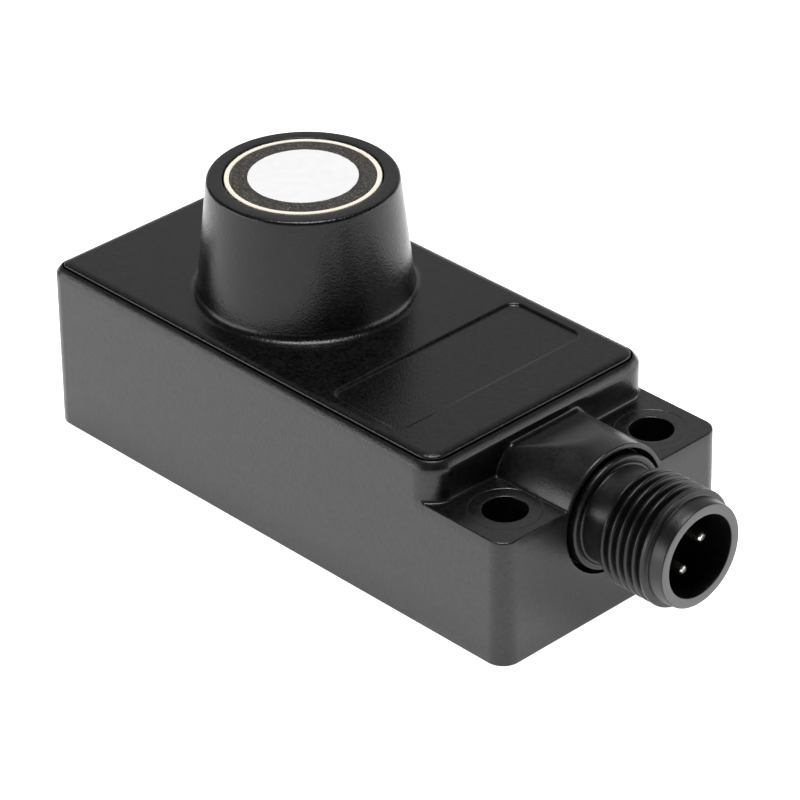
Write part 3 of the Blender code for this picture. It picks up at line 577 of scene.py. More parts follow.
def build_housing(material):
    """The open box: drafted walls, rim, ears with holes, hood, stepped bore and cavity."""
    patch = Patchwork()
    back = back_path()
    ear_near, ear_front, ear_far = end_path(HALF_LENGTH, EAR_CORNER, 40)
    wall_near, wall_front, wall_far = end_path(BODY_END, BODY_CORNER, 0)
    ear_path = ear_near + ear_front + ear_far
    wall_path = wall_near + wall_front + wall_far
    # top of the ears and the hood
    ear_edge = inset_loop(ear_path, EAR_INSET)
    wall_edge = inset_loop(wall_path, EAR_INSET)
    loop = ear_edge + wall_edge[-2:0:-1]
    holes = [circle_points((HOLE_X, side * HOLE_Y), HOLE_RADIUS, HOLE_STEPS) for side in (-1.0, 1.0)]
    taken = loop + holes[0] + holes[1]
    inner = ear_top_points(taken, ear_path, wall_path)

    def on_top(x, y):
        return min(edge_distance(x, y), wall_distance(x, y), hole_distance(x, y)) > 0.0

    patch.sheet([loop, *holes], inner, on_top, top_point)
    ear_row = [top_point(*p) for p in ear_edge]
    wall_row = [top_point(*p) for p in wall_edge]
    # outer walls
    cusp_top = ear_row[0][2]
    count = len(ear_near)
    for part, row in ((ear_near, ear_row[:count]), (ear_far, ear_row[-len(ear_far) :])):
        rows = level_rows(part, LOW_LEVELS, lambda i: BASE_ROUND, lambda i: row[i][2], wall_point)
        rows[-1] = row
        patch.strip(rows, closed=False)
    rows = level_rows(back, LOW_LEVELS, lambda i: BASE_ROUND, lambda i: cusp_top, wall_point)
    high_end = RIM_TOP - RIM_DROP
    high = level_rows(back, HIGH_LEVELS, lambda i: cusp_top, lambda i: high_end, wall_point)
    patch.strip(rows + high[1:], closed=False)
    high = level_rows(wall_path, HIGH_LEVELS, lambda i: wall_row[i][2], lambda i: high_end, wall_point)
    high[0] = wall_row
    patch.strip(high, closed=False)
    build_front(patch, ear_near, ear_front, ear_far, ear_row)
    build_base(patch, back, ear_path, holes)
    build_rim_and_cavity(patch, back, wall_near, wall_front, wall_far)
    return patch.build("housing_detailed", material)


def front_point(y, z):
    """A point on the drafted front face, rounded into the connector bore."""
    bore = math.hypot(y, z - AXIS_Z) - RECESS_RADIUS
    return (HALF_LENGTH - DRAFT * z - round_off(bore, MOUTH_ROUND), y, z)


def bore_ring(radius):
    return circle_points((0.0, AXIS_Z), radius, BORE_STEPS)


def build_front(patch, ear_near, ear_front, ear_far, ear_row):
    """The front face under the hood, and the stepped bore behind it."""
    first = len(ear_near) - 1
    top = ear_row[first : first + len(ear_front) + 2]
    columns = [ear_near[-1], *ear_front, ear_far[0]]
    near_top = top[0][2]
    far_top = top[-1][2]
    bottom_row = [(entry[1], BASE_ROUND) for entry in columns]
    far_side = [(columns[-1][1], mix(BASE_ROUND, far_top, t)) for t in LOW_LEVELS[1:-1]]
    near_side = [(columns[0][1], mix(BASE_ROUND, near_top, t)) for t in LOW_LEVELS[-2:0:-1]]
    top_row = [(p[1], p[2]) for p in top]
    loop = bottom_row + far_side + top_row[::-1] + near_side
    mouth = bore_ring(RECESS_RADIUS)
    picker = PointPicker(loop + mouth)
    profile = sorted(top_row)

    def roof(y):
        for a, b in zip(profile, profile[1:]):
            if a[0] <= y <= b[0]:
                return mix(a[1], b[1], (y - a[0]) / max(b[0] - a[0], 1e-9))
        return profile[0][1]

    def allowed(y, z):
        if abs(y) > columns[-1][1] - 0.1 or z < BASE_ROUND + 0.1 or z > roof(y) - 0.05:
            return False
        return math.hypot(y, z - AXIS_Z) > RECESS_RADIUS + 0.005

    for share in (0.1, 0.3, 0.6, 1.0):
        picker.offer(bore_ring(RECESS_RADIUS + MOUTH_ROUND * share), 0.01, allowed)
    grid_y = spread(-12.6, 12.6, 42)
    grid_z = spread(0.6, 17.6, 28)
    picker.offer([(y, z) for y in grid_y for z in grid_z], 0.35, allowed)

    def on_face(y, z):
        inside = abs(y) <= columns[-1][1] and BASE_ROUND < z < roof(y) + 0.02
        return inside and math.hypot(y, z - AXIS_Z) > RECESS_RADIUS - 0.01

    patch.sheet([loop, mouth], picker.points, on_face, front_point)
    place = about_x()
    rows = [[front_point(*p) for p in mouth]]
    stations = [(RECESS_RADIUS, x) for x in spread(31.8, RECESS_FLOOR, 4)]
    stations += [(THROUGH_RADIUS, RECESS_FLOOR)]
    stations += [(THROUGH_RADIUS, x) for x in spread(RECESS_FLOOR, BODY_END - WALL, 4)[1:]]
    rows += [turned_row(place, radius, x, BORE_STEPS) for radius, x in stations]
    patch.strip(rows)


def build_base(patch, back, ear_path, holes):
    """The base with its rounded edge, and the walls of the two ear holes."""
    outline = back + ear_path[1:-1]
    rows = []
    for angle in spread(0.0, 0.5 * math.pi, 4):
        inset = BASE_ROUND * (1.0 - math.sin(angle))
        z = BASE_ROUND * (1.0 - math.cos(angle))
        row = []
        for entry in outline:
            x, y = inset_point(entry, inset + DRAFT * z)
            row.append((x, y, z))
        rows.append(row)
    patch.strip(rows)
    edge = [(p[0], p[1]) for p in rows[0]]
    mouths = []
    for side, top in zip((-1.0, 1.0), holes):
        centre = (HOLE_X, side * HOLE_Y)
        mouth = circle_points(centre, HOLE_RADIUS + HOLE_ROUND, HOLE_STEPS)
        mouths.append(mouth)
        low = [(x, y, HOLE_ROUND) for x, y in circle_points(centre, HOLE_RADIUS, HOLE_STEPS)]
        middle = [(x, y, 0.5 * EAR_TOP) for x, y in circle_points(centre, HOLE_RADIUS, HOLE_STEPS)]
        patch.strip([[top_point(*p) for p in top], middle, low, [(x, y, 0.0) for x, y in mouth]])

    def on_base(x, y):
        return math.hypot(x - HOLE_X, abs(y) - HOLE_Y) > HOLE_RADIUS + HOLE_ROUND

    patch.sheet([edge, *mouths], [], on_base, lambda x, y: (x, y, 0.0))


def build_rim_and_cavity(patch, back, wall_near, wall_front, wall_far):
    """The rounded rim round the cover, the ledge under it, and the cavity with the bore's inner mouth."""
    loop = back[:-1] + wall_near + wall_front + wall_far[:-1]
    inset = DRAFT * RIM_TOP
    rows = [[wall_point(entry, RIM_TOP - RIM_DROP) for entry in loop]]
    for share in spread(0.0, 1.0, 10)[1:]:
        across = inset + 2.0 * share * (1.0 - share) * RIM_CONTROL[0] + share * share * RIM_ACROSS
        drop = (1.0 - share) ** 2 * RIM_DROP + 2.0 * share * (1.0 - share) * RIM_CONTROL[1]
        rows.append([(*inset_point(entry, across), RIM_TOP - drop) for entry in loop])
    for angle in spread(0.0, 0.5 * math.pi, 3):
        across = inset + LIP - LIP_ROUND * (1.0 - math.sin(angle))
        z = RIM_TOP - LIP_ROUND * (1.0 - math.cos(angle))
        rows.append([(*inset_point(entry, across), z) for entry in loop])
    rows.append([(*inset_point(entry, inset + LIP), LEDGE) for entry in loop])
    rows.append([(*inset_point(entry, WALL), LEDGE) for entry in loop])
    patch.strip(rows)
    levels = spread(LEDGE, FLOOR, 5)
    open_path = [wall_front[-1], *wall_far[:-1], *back[:-1], *wall_near, wall_front[0]]
    patch.strip([[(*inset_point(e, WALL), z) for e in open_path] for z in levels], closed=False)
    patch.face([(*inset_point(entry, WALL), FLOOR) for entry in loop])
    ys = [entry[1] for entry in wall_front]
    sides = levels[1:-1]
    outline = [(y, LEDGE) for y in ys] + [(ys[-1], z) for z in sides]
    outline += [(y, FLOOR) for y in ys[::-1]] + [(ys[0], z) for z in sides[::-1]]
    end_x = BODY_END - WALL

    def on_wall(y, z):
        return math.hypot(y, z - AXIS_Z) > THROUGH_RADIUS - 0.01

    patch.sheet([outline, bore_ring(THROUGH_RADIUS)], [], on_wall, lambda y, z: (end_x, y, z))


# ---- cover with the tower ----
def panel_distance(x, y):
    """Distance inside the recessed panel's outline."""
    middle = 0.5 * (PANEL[0] + PANEL[1])
    px = abs(x - middle) - (0.5 * (PANEL[1] - PANEL[0]) - PANEL_CORNER)
    py = abs(y) - (PANEL[2] - PANEL_CORNER)
    if px > 0.0 and py > 0.0:
        return PANEL_CORNER - math.hypot(px, py)
    return PANEL_CORNER - max(px, py)


def panel_ring(distance):
    """Points at one distance inside the panel's outline."""
    half_x = 0.5 * (PANEL[1] - PANEL[0]) - PANEL_CORNER
    half_y = PANEL[2] - PANEL_CORNER
    middle = 0.5 * (PANEL[0] + PANEL[1])
    radius = PANEL_CORNER - distance
    made = []
    corners = ((1, 1, 0.0), (-1, 1, 90.0), (-1, -1, 180.0), (1, -1, 270.0))
    for i, (sx, sy, start) in enumerate(corners):
        centre = (middle + sx * half_x, sy * half_y)
        arc = arc_profile(centre, radius, start, start + 90.0, 8)
        made += arc
        nx, ny, next_start = corners[(i + 1) % 4]
        target = (middle + nx * half_x, ny * half_y)
        angle = math.radians(next_start)
        goal = (target[0] + radius * math.cos(angle), target[1] + radius * math.sin(angle))
        for t in spread(0.0, 1.0, 26)[1:-1]:
            made.append((mix(arc[-1][0], goal[0], t), mix(arc[-1][1], goal[1], t)))
    return made


def cover_edge():
    """(across, drop) pairs of the plate's edge, from its upright side up and over to the flat top."""
    centre = COVER_SHARP * (1.0 - math.sin(COVER_TILT)) + COVER_SOFT * math.sin(COVER_TILT)
    low = COVER_SOFT * (1.0 - math.cos(COVER_TILT)) + COVER_SHARP * math.cos(COVER_TILT)
    made = []
    for tilt in spread(0.5 * math.pi, COVER_TILT, 7):
        made.append((COVER_SHARP * (1.0 - math.sin(tilt)), low - COVER_SHARP * math.cos(tilt)))
    for tilt in spread(COVER_TILT, 0.0, 7)[1:]:
        made.append((centre - COVER_SOFT * math.sin(tilt), COVER_SOFT * (1.0 - math.cos(tilt))))
    return made


PANEL_BEND = 0.5 * PANEL_DEPTH / (1.0 - math.cos(PANEL_TILT))
PANEL_REACH = PANEL_BEND * math.sin(PANEL_TILT)


def panel_edge():
    """(distance, drop) pairs from the plate over a rounded edge and a hollow down to the panel's floor."""
    made = []
    for tilt in spread(0.0, PANEL_TILT, 6):
        made.append((PANEL_BEND * math.sin(tilt) - PANEL_REACH, PANEL_BEND * (1.0 - math.cos(tilt))))
    for tilt in spread(PANEL_TILT, 0.0, 6)[1:]:
        drop = PANEL_DEPTH - PANEL_BEND * (1.0 - math.cos(tilt))
        made.append((PANEL_REACH - PANEL_BEND * math.sin(tilt), drop))
    return made


def tower_profile():
    """(radius, height) pairs from the plate up the cone, over the rim and down the bore."""
    lean = math.degrees(math.atan(TAPER))
    slant = math.hypot(1.0, TAPER)
    foot_z = COVER_TOP + TOWER_FILLET
    foot_r = TOWER_RADIUS + TAPER * (TOWER_TOP - foot_z) + TOWER_FILLET * slant
    profile = arc_profile((foot_r, foot_z), TOWER_FILLET, 270.0, 180.0 + lean, 10)
    top_z = TOWER_TOP - TOWER_ROUND
    top_r = TOWER_RADIUS + TAPER * (TOWER_TOP - top_z) - TOWER_ROUND * slant
    crown = arc_profile((top_r, top_z), TOWER_ROUND, lean, 90.0, 10)
    low_r, low_z = profile[-1]
    for share in spread(0.0, 1.0, 12)[1:-1]:
        profile.append((mix(low_r, crown[0][0], share), mix(low_z, crown[0][1], share)))
    profile += crown
    profile += arc_profile((BORE_RADIUS + BORE_ROUND, TOWER_TOP - BORE_ROUND), BORE_ROUND, 90.0, 180.0, 4)
    profile += [(BORE_RADIUS, SEAT), (THROAT, SEAT), (THROAT, COVER_BOTTOM)]
    return profile


def build_cover(material):
    """The painted cover: plate with a recessed panel, tapered tower and the two skirts below."""
    patch = Patchwork()
    wall_near, wall_front, wall_far = end_path(BODY_END, BODY_CORNER, 0)
    loop = back_path()[:-1] + wall_near + wall_front + wall_far[:-1]
    inset = DRAFT * RIM_TOP + LIP + COVER_GAP
    rows = []
    for angle in spread(0.0, 0.5 * math.pi, 3):
        across = inset + UNDER_ROUND * (1.0 - math.sin(angle))
        z = COVER_BOTTOM + UNDER_ROUND * (1.0 - math.cos(angle))
        rows.append([(*inset_point(entry, across), z) for entry in loop])
    for across, drop in cover_edge():
        rows.append([(*inset_point(entry, inset + across), COVER_TOP - drop) for entry in loop])
    patch.strip(rows)
    edge = [(p[0], p[1]) for p in rows[-1]]
    under = [(p[0], p[1]) for p in rows[0]]
    profile = tower_profile()
    foot = profile[0][0]
    foot_ring = circle_points((TOWER_X, 0.0), foot, TOWER_STEPS)
    panel_rows = []
    for distance, drop in panel_edge():
        panel_rows.append([(x, y, COVER_TOP - drop) for x, y in panel_ring(distance)])
    patch.strip(panel_rows)
    panel_mouth = [(p[0], p[1]) for p in panel_rows[0]]
    panel_foot = [(p[0], p[1]) for p in panel_rows[-1]]
    picker = PointPicker(edge + foot_ring + panel_mouth)
    low_x = min(p[0] for p in edge)
    high_x = max(p[0] for p in edge)
    high_y = max(p[1] for p in edge)

    def allowed(x, y):
        away = math.hypot(x - TOWER_X, y) - foot
        plain = panel_distance(x, y) < -PANEL_REACH - 0.2
        return plain and away > 0.2 and low_x + 0.5 < x < high_x - 0.2 and abs(y) < high_y - 0.2

    plate_x = spread(low_x, high_x, 50)
    plate_y = spread(-high_y, high_y, 26)
    picker.offer([(x, y) for x in plate_x for y in plate_y], 0.4, allowed)

    def on_plate(x, y):
        return math.hypot(x - TOWER_X, y) > foot - 0.004 and panel_distance(x, y) < -PANEL_REACH + 0.002

    patch.sheet([edge, foot_ring, panel_mouth], picker.points, on_plate, lambda x, y: (x, y, COVER_TOP))
    floor_x = spread(PANEL[0] + 0.5, PANEL[1] - 0.5, 10)
    floor_y = spread(-PANEL[2] + 0.5, PANEL[2] - 0.5, 25)
    floor_grid = [(x, y) for x in floor_x for y in floor_y if panel_distance(x, y) > PANEL_REACH + 0.2]
    panel_floor = COVER_TOP - PANEL_DEPTH

    def on_floor(x, y):
        return panel_distance(x, y) > PANEL_REACH - 0.01

    patch.sheet([panel_foot], floor_grid, on_floor, lambda x, y: (x, y, panel_floor))
    patch.turned(profile, about_z(TOWER_X), TOWER_STEPS)

    def on_underside(x, y):
        return math.hypot(x - TOWER_X, y) > THROAT - 0.01

    throat_ring = circle_points((TOWER_X, 0.0), THROAT, TOWER_STEPS)
    patch.sheet([under, throat_ring], [], on_underside, lambda x, y: (x, y, COVER_BOTTOM))
    for side in (-1.0, 1.0):
        add_bar(
            patch,
            (SKIRT_X[0], SKIRT_Y[0], SKIRT_BOTTOM),
            (SKIRT_X[1], SKIRT_Y[1], COVER_BOTTOM + 0.4),
            SKIRT_EDGE,
            lambda p, s=side: (p[0], s * p[1], p[2]),
        )
    return patch.build("top_cover_detailed", material)


def add_bar(patch, low, high, edge, place):
    """A closed bar with bevelled edges between two corners."""
    rows = []
    levels = [(low[2], edge), (low[2] + edge, 0.0), (high[2] - edge, 0.0), (high[2], edge)]
    for z, inset in levels:
        x0, x1 = low[0] + inset, high[0] - inset
        y0, y1 = low[1] + inset, high[1] - inset
        ring = [
            (x0 + edge, y0, z),
            (x1 - edge, y0, z),
            (x1, y0 + edge, z),
            (x1, y1 - edge, z),
            (x1 - edge, y1, z),
            (x0 + edge, y1, z),
            (x0, y1 - edge, z),
            (x0, y0 + edge, z),
        ]
        rows.append([place(p) for p in ring])
    patch.strip(rows)
    patch.face(rows[0])
    patch.face(rows[-1])


# ---- transducer face ----
def build_sleeve(material):
    """The soft cream ring that holds the transducer."""
    patch = Patchwork()
    edge = 0.1
    inner, outer = SLEEVE
    profile = [(inner, SLEEVE_BOTTOM), (outer, SLEEVE_BOTTOM)]
    profile += arc_profile((outer - edge, FACE_TOP - edge), edge, 0.0, 90.0, 4)
    profile += arc_profile((inner + edge, FACE_TOP - edge), edge, 90.0, 180.0, 4)
    patch.turned(profile, about_z(TOWER_X), TOWER_STEPS, closed=True)
    return patch.build("decoupling_sleeve_detailed", material)


def build_layer(material):
    """The grainy matching layer, with a shallow pocket for the white coating."""
    patch = Patchwork()
    top = FACE_TOP - LAYER_TOP_DROP
    edge = 0.06
    profile = [(LAYER_RADIUS, LAYER_BOTTOM)]
    profile += arc_profile((LAYER_RADIUS - edge, top - edge), edge, 0.0, 90.0, 3)
    profile += [(mix(LAYER_RADIUS - edge, POCKET_RADIUS, t), top) for t in (0.25, 0.5, 0.75, 1.0)]
    profile += [(POCKET_RADIUS, POCKET_FLOOR)]
    patch.turned_solid(profile, about_z(TOWER_X), TOWER_STEPS)
    return patch.build("matching_layer_detailed", material)


def build_disc(material):
    """The white coating: a film with a slightly uneven edge on a round stem."""
    patch = Patchwork()
    film = FACE_TOP - LAYER_TOP_DROP + 0.004
    profile = [
        (DISC_STEM, POCKET_FLOOR + 0.15),
        (DISC_STEM, film),
        (DISC_RADIUS, film),
        (DISC_RADIUS - 0.004, FACE_TOP - 0.008),
        (DISC_RADIUS - 0.03, FACE_TOP - 0.002),
        (DISC_RADIUS - 0.1, FACE_TOP),
    ]

    def place(radius, along, angle):
        wobble = 0.0
        if radius > DISC_STEM:
            at = Vector((7.0 * math.cos(angle), 7.0 * math.sin(angle), 1.7))
            wobble = DISC_WOBBLE[0] * noise.noise(at) + DISC_WOBBLE[1] * noise.noise(3.7 * at)
        return about_z(TOWER_X)(radius + wobble, along, angle)

    patch.turned_solid(profile, place, 2 * TOWER_STEPS)
    return patch.build("face_disc_detailed", material)


# ---- connector ----
def thread_radius(x, angle):
    """Outer radius of the thread at a place along the axis and an angle round it."""
    turns = (x - THREAD_START - THREAD_PHASE) / THREAD_PITCH - angle / (2.0 * math.pi)
    tooth = abs(2.0 * (turns - math.floor(turns)) - 1.0)
    flank = smooth_step(THREAD_FLANK[0] * tooth - THREAD_FLANK[1])
    radius = mix(THREAD_ROOT, THREAD_CREST, flank)
    fade_in = smooth_step((x - THREAD_START) / THREAD_FADE_IN)
    fade_out = smooth_step((THREAD_END - THREAD_FADE_OUT[0] - x) / THREAD_FADE_OUT[1])
    radius = mix(NECK_RADIUS, radius, fade_in)
    return mix(THREAD_CREST, radius, fade_out)


def shell_profile():
    """Plain stretches of the shell before and after the thread, as (radius, along) pairs."""
    edge = SHELL_EDGE
    before = [(SHELL_INNER, SHELL_BACK), (SHELL_REAR, SHELL_BACK), (SHELL_REAR, FLANGE[0])]
    before += [(FLANGE_RADIUS - edge, FLANGE[0])]
    before += arc_profile((FLANGE_RADIUS - edge, FLANGE[0] + edge), edge, 270.0, 360.0, 4)[1:]
    before += arc_profile((FLANGE_RADIUS - edge, FLANGE[1] - edge), edge, 0.0, 90.0, 4)
    before += [(SHOULDER_RADIUS, FLANGE[1]), (SHOULDER_RADIUS, 0.5 * (FLANGE[1] + SHOULDER_END))]
    centre = (SHOULDER_RADIUS - SHOULDER_ROUND, SHOULDER_END - SHOULDER_ROUND)
    before += arc_profile(centre, SHOULDER_ROUND, 0.0, 90.0, 7)
    before += [(radius, SHOULDER_END - depth) for radius, depth in NECK_GROOVE]
    before += [(NECK_RADIUS, SHOULDER_END + 0.2), (NECK_RADIUS, 33.8), (NECK_RADIUS, 34.7)]
    after = [*THREAD_RELIEF, (THREAD_RELIEF[-1][0], COLLAR_START - 0.04), (5.425, COLLAR_START)]
    after += [(COLLAR_RADIUS - 0.01, COLLAR_START + 0.05), (COLLAR_RADIUS, COLLAR_START + 0.09)]
    after += [(COLLAR_RADIUS - 0.04, 42.3), (COLLAR_RADIUS - 0.08, 42.8)]
    after += arc_profile((COLLAR_FACE_RADIUS - edge, FRONT - edge), edge, 5.0, 90.0, 5)
    after += arc_profile((SOCKET_RADIUS + 0.1, FRONT - 0.1), 0.1, 90.0, 180.0, 4)
    after += [(SOCKET_RADIUS, x) for x in spread(FRONT - 0.4, SOCKET_FLOOR, 6)]
    after += [(SHELL_INNER, SOCKET_FLOOR)]
    return before, after


def build_shell(material):
    """The male connector shell: rear tube, flange, shoulder, neck, thread, collar, socket and key."""
    patch = Patchwork()
    before, after = shell_profile()
    place = about_x()
    angles = [2.0 * math.pi * i / SHELL_STEPS for i in range(SHELL_STEPS)]

    def seam(x, index):
        """Height of the mould's parting line, on the two sides of the shell."""
        on_line = index % (SHELL_STEPS // 2) == SEAM_COLUMN
        return SEAM_HEIGHT if on_line and SHOULDER_END < x < FRONT - 0.2 else 0.0

    rows = []
    for radius, x in before:
        rows.append([place(radius + seam(x, i), x, angle) for i, angle in enumerate(angles)])
    for x in spread(THREAD_START, THREAD_END, 96):
        outer = [thread_radius(x, angle) + seam(x, i) for i, angle in enumerate(angles)]
        rows.append([place(radius, x, angle) for radius, angle in zip(outer, angles)])
    for radius, x in after:
        lift = radius > COLLAR_FACE_RADIUS
        rows.append([place(radius + lift * seam(x, i), x, angle) for i, angle in enumerate(angles)])
    patch.strip(rows + rows[:1])
    low = (SOCKET_FLOOR + 0.01, -0.5 * KEY_WIDTH, SOCKET_RADIUS - KEY_HEIGHT)
    high = (FRONT - KEY_SETBACK, 0.5 * KEY_WIDTH, SOCKET_RADIUS + 0.3)

    def key_place(point):
        x, side, out = point
        y = out * math.cos(KEY_ANGLE) - side * math.sin(KEY_ANGLE)
        z = out * math.sin(KEY_ANGLE) + side * math.cos(KEY_ANGLE)
        return (x, y, AXIS_Z + z)

    add_bar(patch, low, high, KEY_EDGE, key_place)
    return patch.build("connector_shell_detailed", material)


def build_pin(number, material):
    """One contact pin with a flat, chamfered tip and a thinner tail."""
    name = f"contact_pin_{number}"
    low, high = box_mm(name)
    patch = Patchwork()
    place = about_x(0.5 * (low[1] + high[1]), 0.5 * (low[2] + high[2]))
    profile = [(PIN_TAIL - 0.08, low[0]), (PIN_TAIL, low[0] + 0.08), (PIN_TAIL, PIN_STEP)]
    profile += [(PIN_RADIUS, PIN_STEP)]
    profile += [(PIN_RADIUS, mix(PIN_STEP, high[0] - PIN_RADIUS, t)) for t in (0.5, 0.8)]
    profile += [(radius, high[0] - back) for radius, back in PIN_TIP]
    patch.turned_solid(profile, place, PIN_STEPS)
    return patch.build(name + "_detailed", material)


# ---- materials ----
def new_material(name):
    material = bpy.data.materials.new(name)
    material.use_nodes = True
    nodes = material.node_tree.nodes
    return material, nodes, material.node_tree.links, nodes["Principled BSDF"]


def noise_node(nodes, links, coordinates, size, detail=3.0, roughness=0.55, stretch=None):
    """Noise whose features are about size millimetres across; stretch squeezes it along an axis."""
    source = coordinates
    if stretch:
        mapping = nodes.new("ShaderNodeMapping")
        mapping.inputs["Scale"].default_value = stretch
        links.new(source, mapping.inputs["Vector"])
        source = mapping.outputs["Vector"]
    node = nodes.new("ShaderNodeTexNoise")
    node.inputs["Scale"].default_value = 1.0 / (size * MM)
    node.inputs["Detail"].default_value = detail
    node.inputs["Roughness"].default_value = roughness
    links.new(source, node.inputs["Vector"])
    return node.outputs["Fac"]


def scaled(nodes, links, value, low, high, from_low=0.3, from_high=0.7):
    """Maps a noise value from its usual range to low..high."""
    node = nodes.new("ShaderNodeMapRange")
    node.inputs["From Min"].default_value = from_low
    node.inputs["From Max"].default_value = from_high
    node.inputs["To Min"].default_value = low
    node.inputs["To Max"].default_value = high
    links.new(value, node.inputs["Value"])
    return node.outputs["Result"]


def blended(nodes, links, share, first, second):
    """A colour between two others; each may be a colour or a socket."""
    node = nodes.new("ShaderNodeMix")
    node.data_type = "RGBA"
    links.new(share, node.inputs["Factor"])
    for value, socket in ((first, node.inputs["A"]), (second, node.inputs["B"])):
        if isinstance(value, bpy.types.NodeSocket):
            links.new(value, socket)
        else:
            socket.default_value = (*value, 1.0)
    return node.outputs["Result"]


def bump(nodes, links, height, depth, below=None):
    """A bump whose full height is depth millimetres."""
    node = nodes.new("ShaderNodeBump")
    node.inputs["Strength"].default_value = 1.0
    node.inputs["Distance"].default_value = depth * MM
    links.new(height, node.inputs["Height"])
    if below is not None:
        links.new(below, node.inputs["Normal"])
    return node.outputs["Normal"]


def joined(nodes, links, operation, first, second):
    """Arithmetic on two values; the second may be a number or a socket."""
    node = nodes.new("ShaderNodeMath")
    node.operation = operation
    links.new(first, node.inputs[0])
    if isinstance(second, bpy.types.NodeSocket):
        links.new(second, node.inputs[1])
    else:
        node.inputs[1].default_value = second
    return node.outputs["Value"]


def between(nodes, links, share, first, second):
    """A value that goes from the socket first to the number second as share goes from 0 to 1."""
    node = nodes.new("ShaderNodeMix")
    node.data_type = "FLOAT"
    links.new(share, node.inputs[0])
    links.new(first, node.inputs[2])
    node.inputs[3].default_value = second
    return node.outputs[0]


def facing(nodes, links, axis):
    """1 where the surface faces along +axis, 0 where it is tilted well away from it."""
    split = nodes.new("ShaderNodeSeparateXYZ")
    links.new(nodes.new("ShaderNodeNewGeometry").outputs["Normal"], split.inputs["Vector"])
    return scaled(nodes, links, split.outputs[axis], 0.0, 1.0, 0.8, 0.95)


def polished(nodes, links, roughness, share):
    """Surfaces that face up, and the end wall behind the ears, are smoother by share."""
    split = nodes.new("ShaderNodeSeparateXYZ")
    links.new(nodes.new("ShaderNodeTexCoord").outputs["Object"], split.inputs["Vector"])
    behind = scaled(nodes, links, split.outputs["X"], 1.0, 0.0, (BODY_END + 0.5) * MM, (BODY_END + 1.5) * MM)
    end_wall = joined(nodes, links, "MULTIPLY", behind, facing(nodes, links, "X"))
    mask = joined(nodes, links, "MAXIMUM", facing(nodes, links, "Z"), end_wall)
    factor = scaled(nodes, links, mask, 1.0, share, 0.0, 1.0)
    return joined(nodes, links, "MULTIPLY", roughness, factor)


def front_mask(nodes, links, coordinates, start):
    """1 on surfaces that face +X beyond start millimetres along the axis."""
    split = nodes.new("ShaderNodeSeparateXYZ")
    links.new(coordinates, split.inputs["Vector"])
    beyond = scaled(nodes, links, split.outputs["X"], 0.0, 1.0, start * MM, (start + 0.06) * MM)
    return joined(nodes, links, "MULTIPLY", beyond, facing(nodes, links, "X"))


def finish_material(name, look):
    """A procedural finish: mottled colour, uneven roughness and one or two sizes of bump."""
    material, nodes, links, shader = new_material(name)
    coordinates = nodes.new("ShaderNodeTexCoord").outputs["Object"]
    dark, light = look["colors"]
    mottle = noise_node(nodes, links, coordinates, look.get("mottle", 1.2), detail=5.0)
    color = blended(nodes, links, scaled(nodes, links, mottle, 0.0, 1.0), dark, light)
    if "speck" in look:
        size, low, high, speck_color = look["speck"]
        specks = noise_node(nodes, links, coordinates, size, detail=1.0)
        mask = scaled(nodes, links, specks, 0.0, 1.0, low, high)
        color = blended(nodes, links, mask, color, speck_color)
    low, high = look["roughness"]
    uneven = noise_node(nodes, links, coordinates, look.get("patch", 2.5), detail=4.0)
    roughness = scaled(nodes, links, uneven, low, high)
    if "polish" in look:
        roughness = polished(nodes, links, roughness, look["polish"])
    # surfaces facing +X beyond start get a colour and roughness of their own
    if "cut_face" in look:
        start, color_there, roughness_there = look["cut_face"]
        mask = front_mask(nodes, links, coordinates, start)
        color = blended(nodes, links, mask, color, color_there)
        roughness = between(nodes, links, mask, roughness, roughness_there)
    links.new(color, shader.inputs["Base Color"])
    links.new(roughness, shader.inputs["Roughness"])
    normal = None
    for size, depth in look["grain"]:
        height = noise_node(nodes, links, coordinates, size, detail=2.0, stretch=look.get("stretch"))
        normal = bump(nodes, links, height, depth, normal)
    links.new(normal, shader.inputs["Normal"])
    shader.inputs["Metallic"].default_value = look.get("metallic", 0.0)
    shader.inputs["IOR"].default_value = look.get("ior", 1.5)
    shader.inputs["Specular IOR Level"].default_value = look.get("specular", 0.5)
    if "coat" in look:
        shader.inputs["Coat Weight"].default_value = look["coat"][0]
        shader.inputs["Coat Roughness"].default_value = look["coat"][1]
    return material


def grey(value):
    return (value, value, value)


def look(dark, light, roughness, *grain, **more):
    """A finish: two colours, the range of roughness, (size, depth) of each bump in millimetres, extras."""
    return {"colors": (dark, light), "roughness": roughness, "grain": grain, **more}


def wire(dark, light):
    return look(dark, light, (0.4, 0.55), (0.3, 0.01))


def metal(dark, light, roughness, grain, **more):
    return look(dark, light, roughness, grain, metallic=1.0, **more)


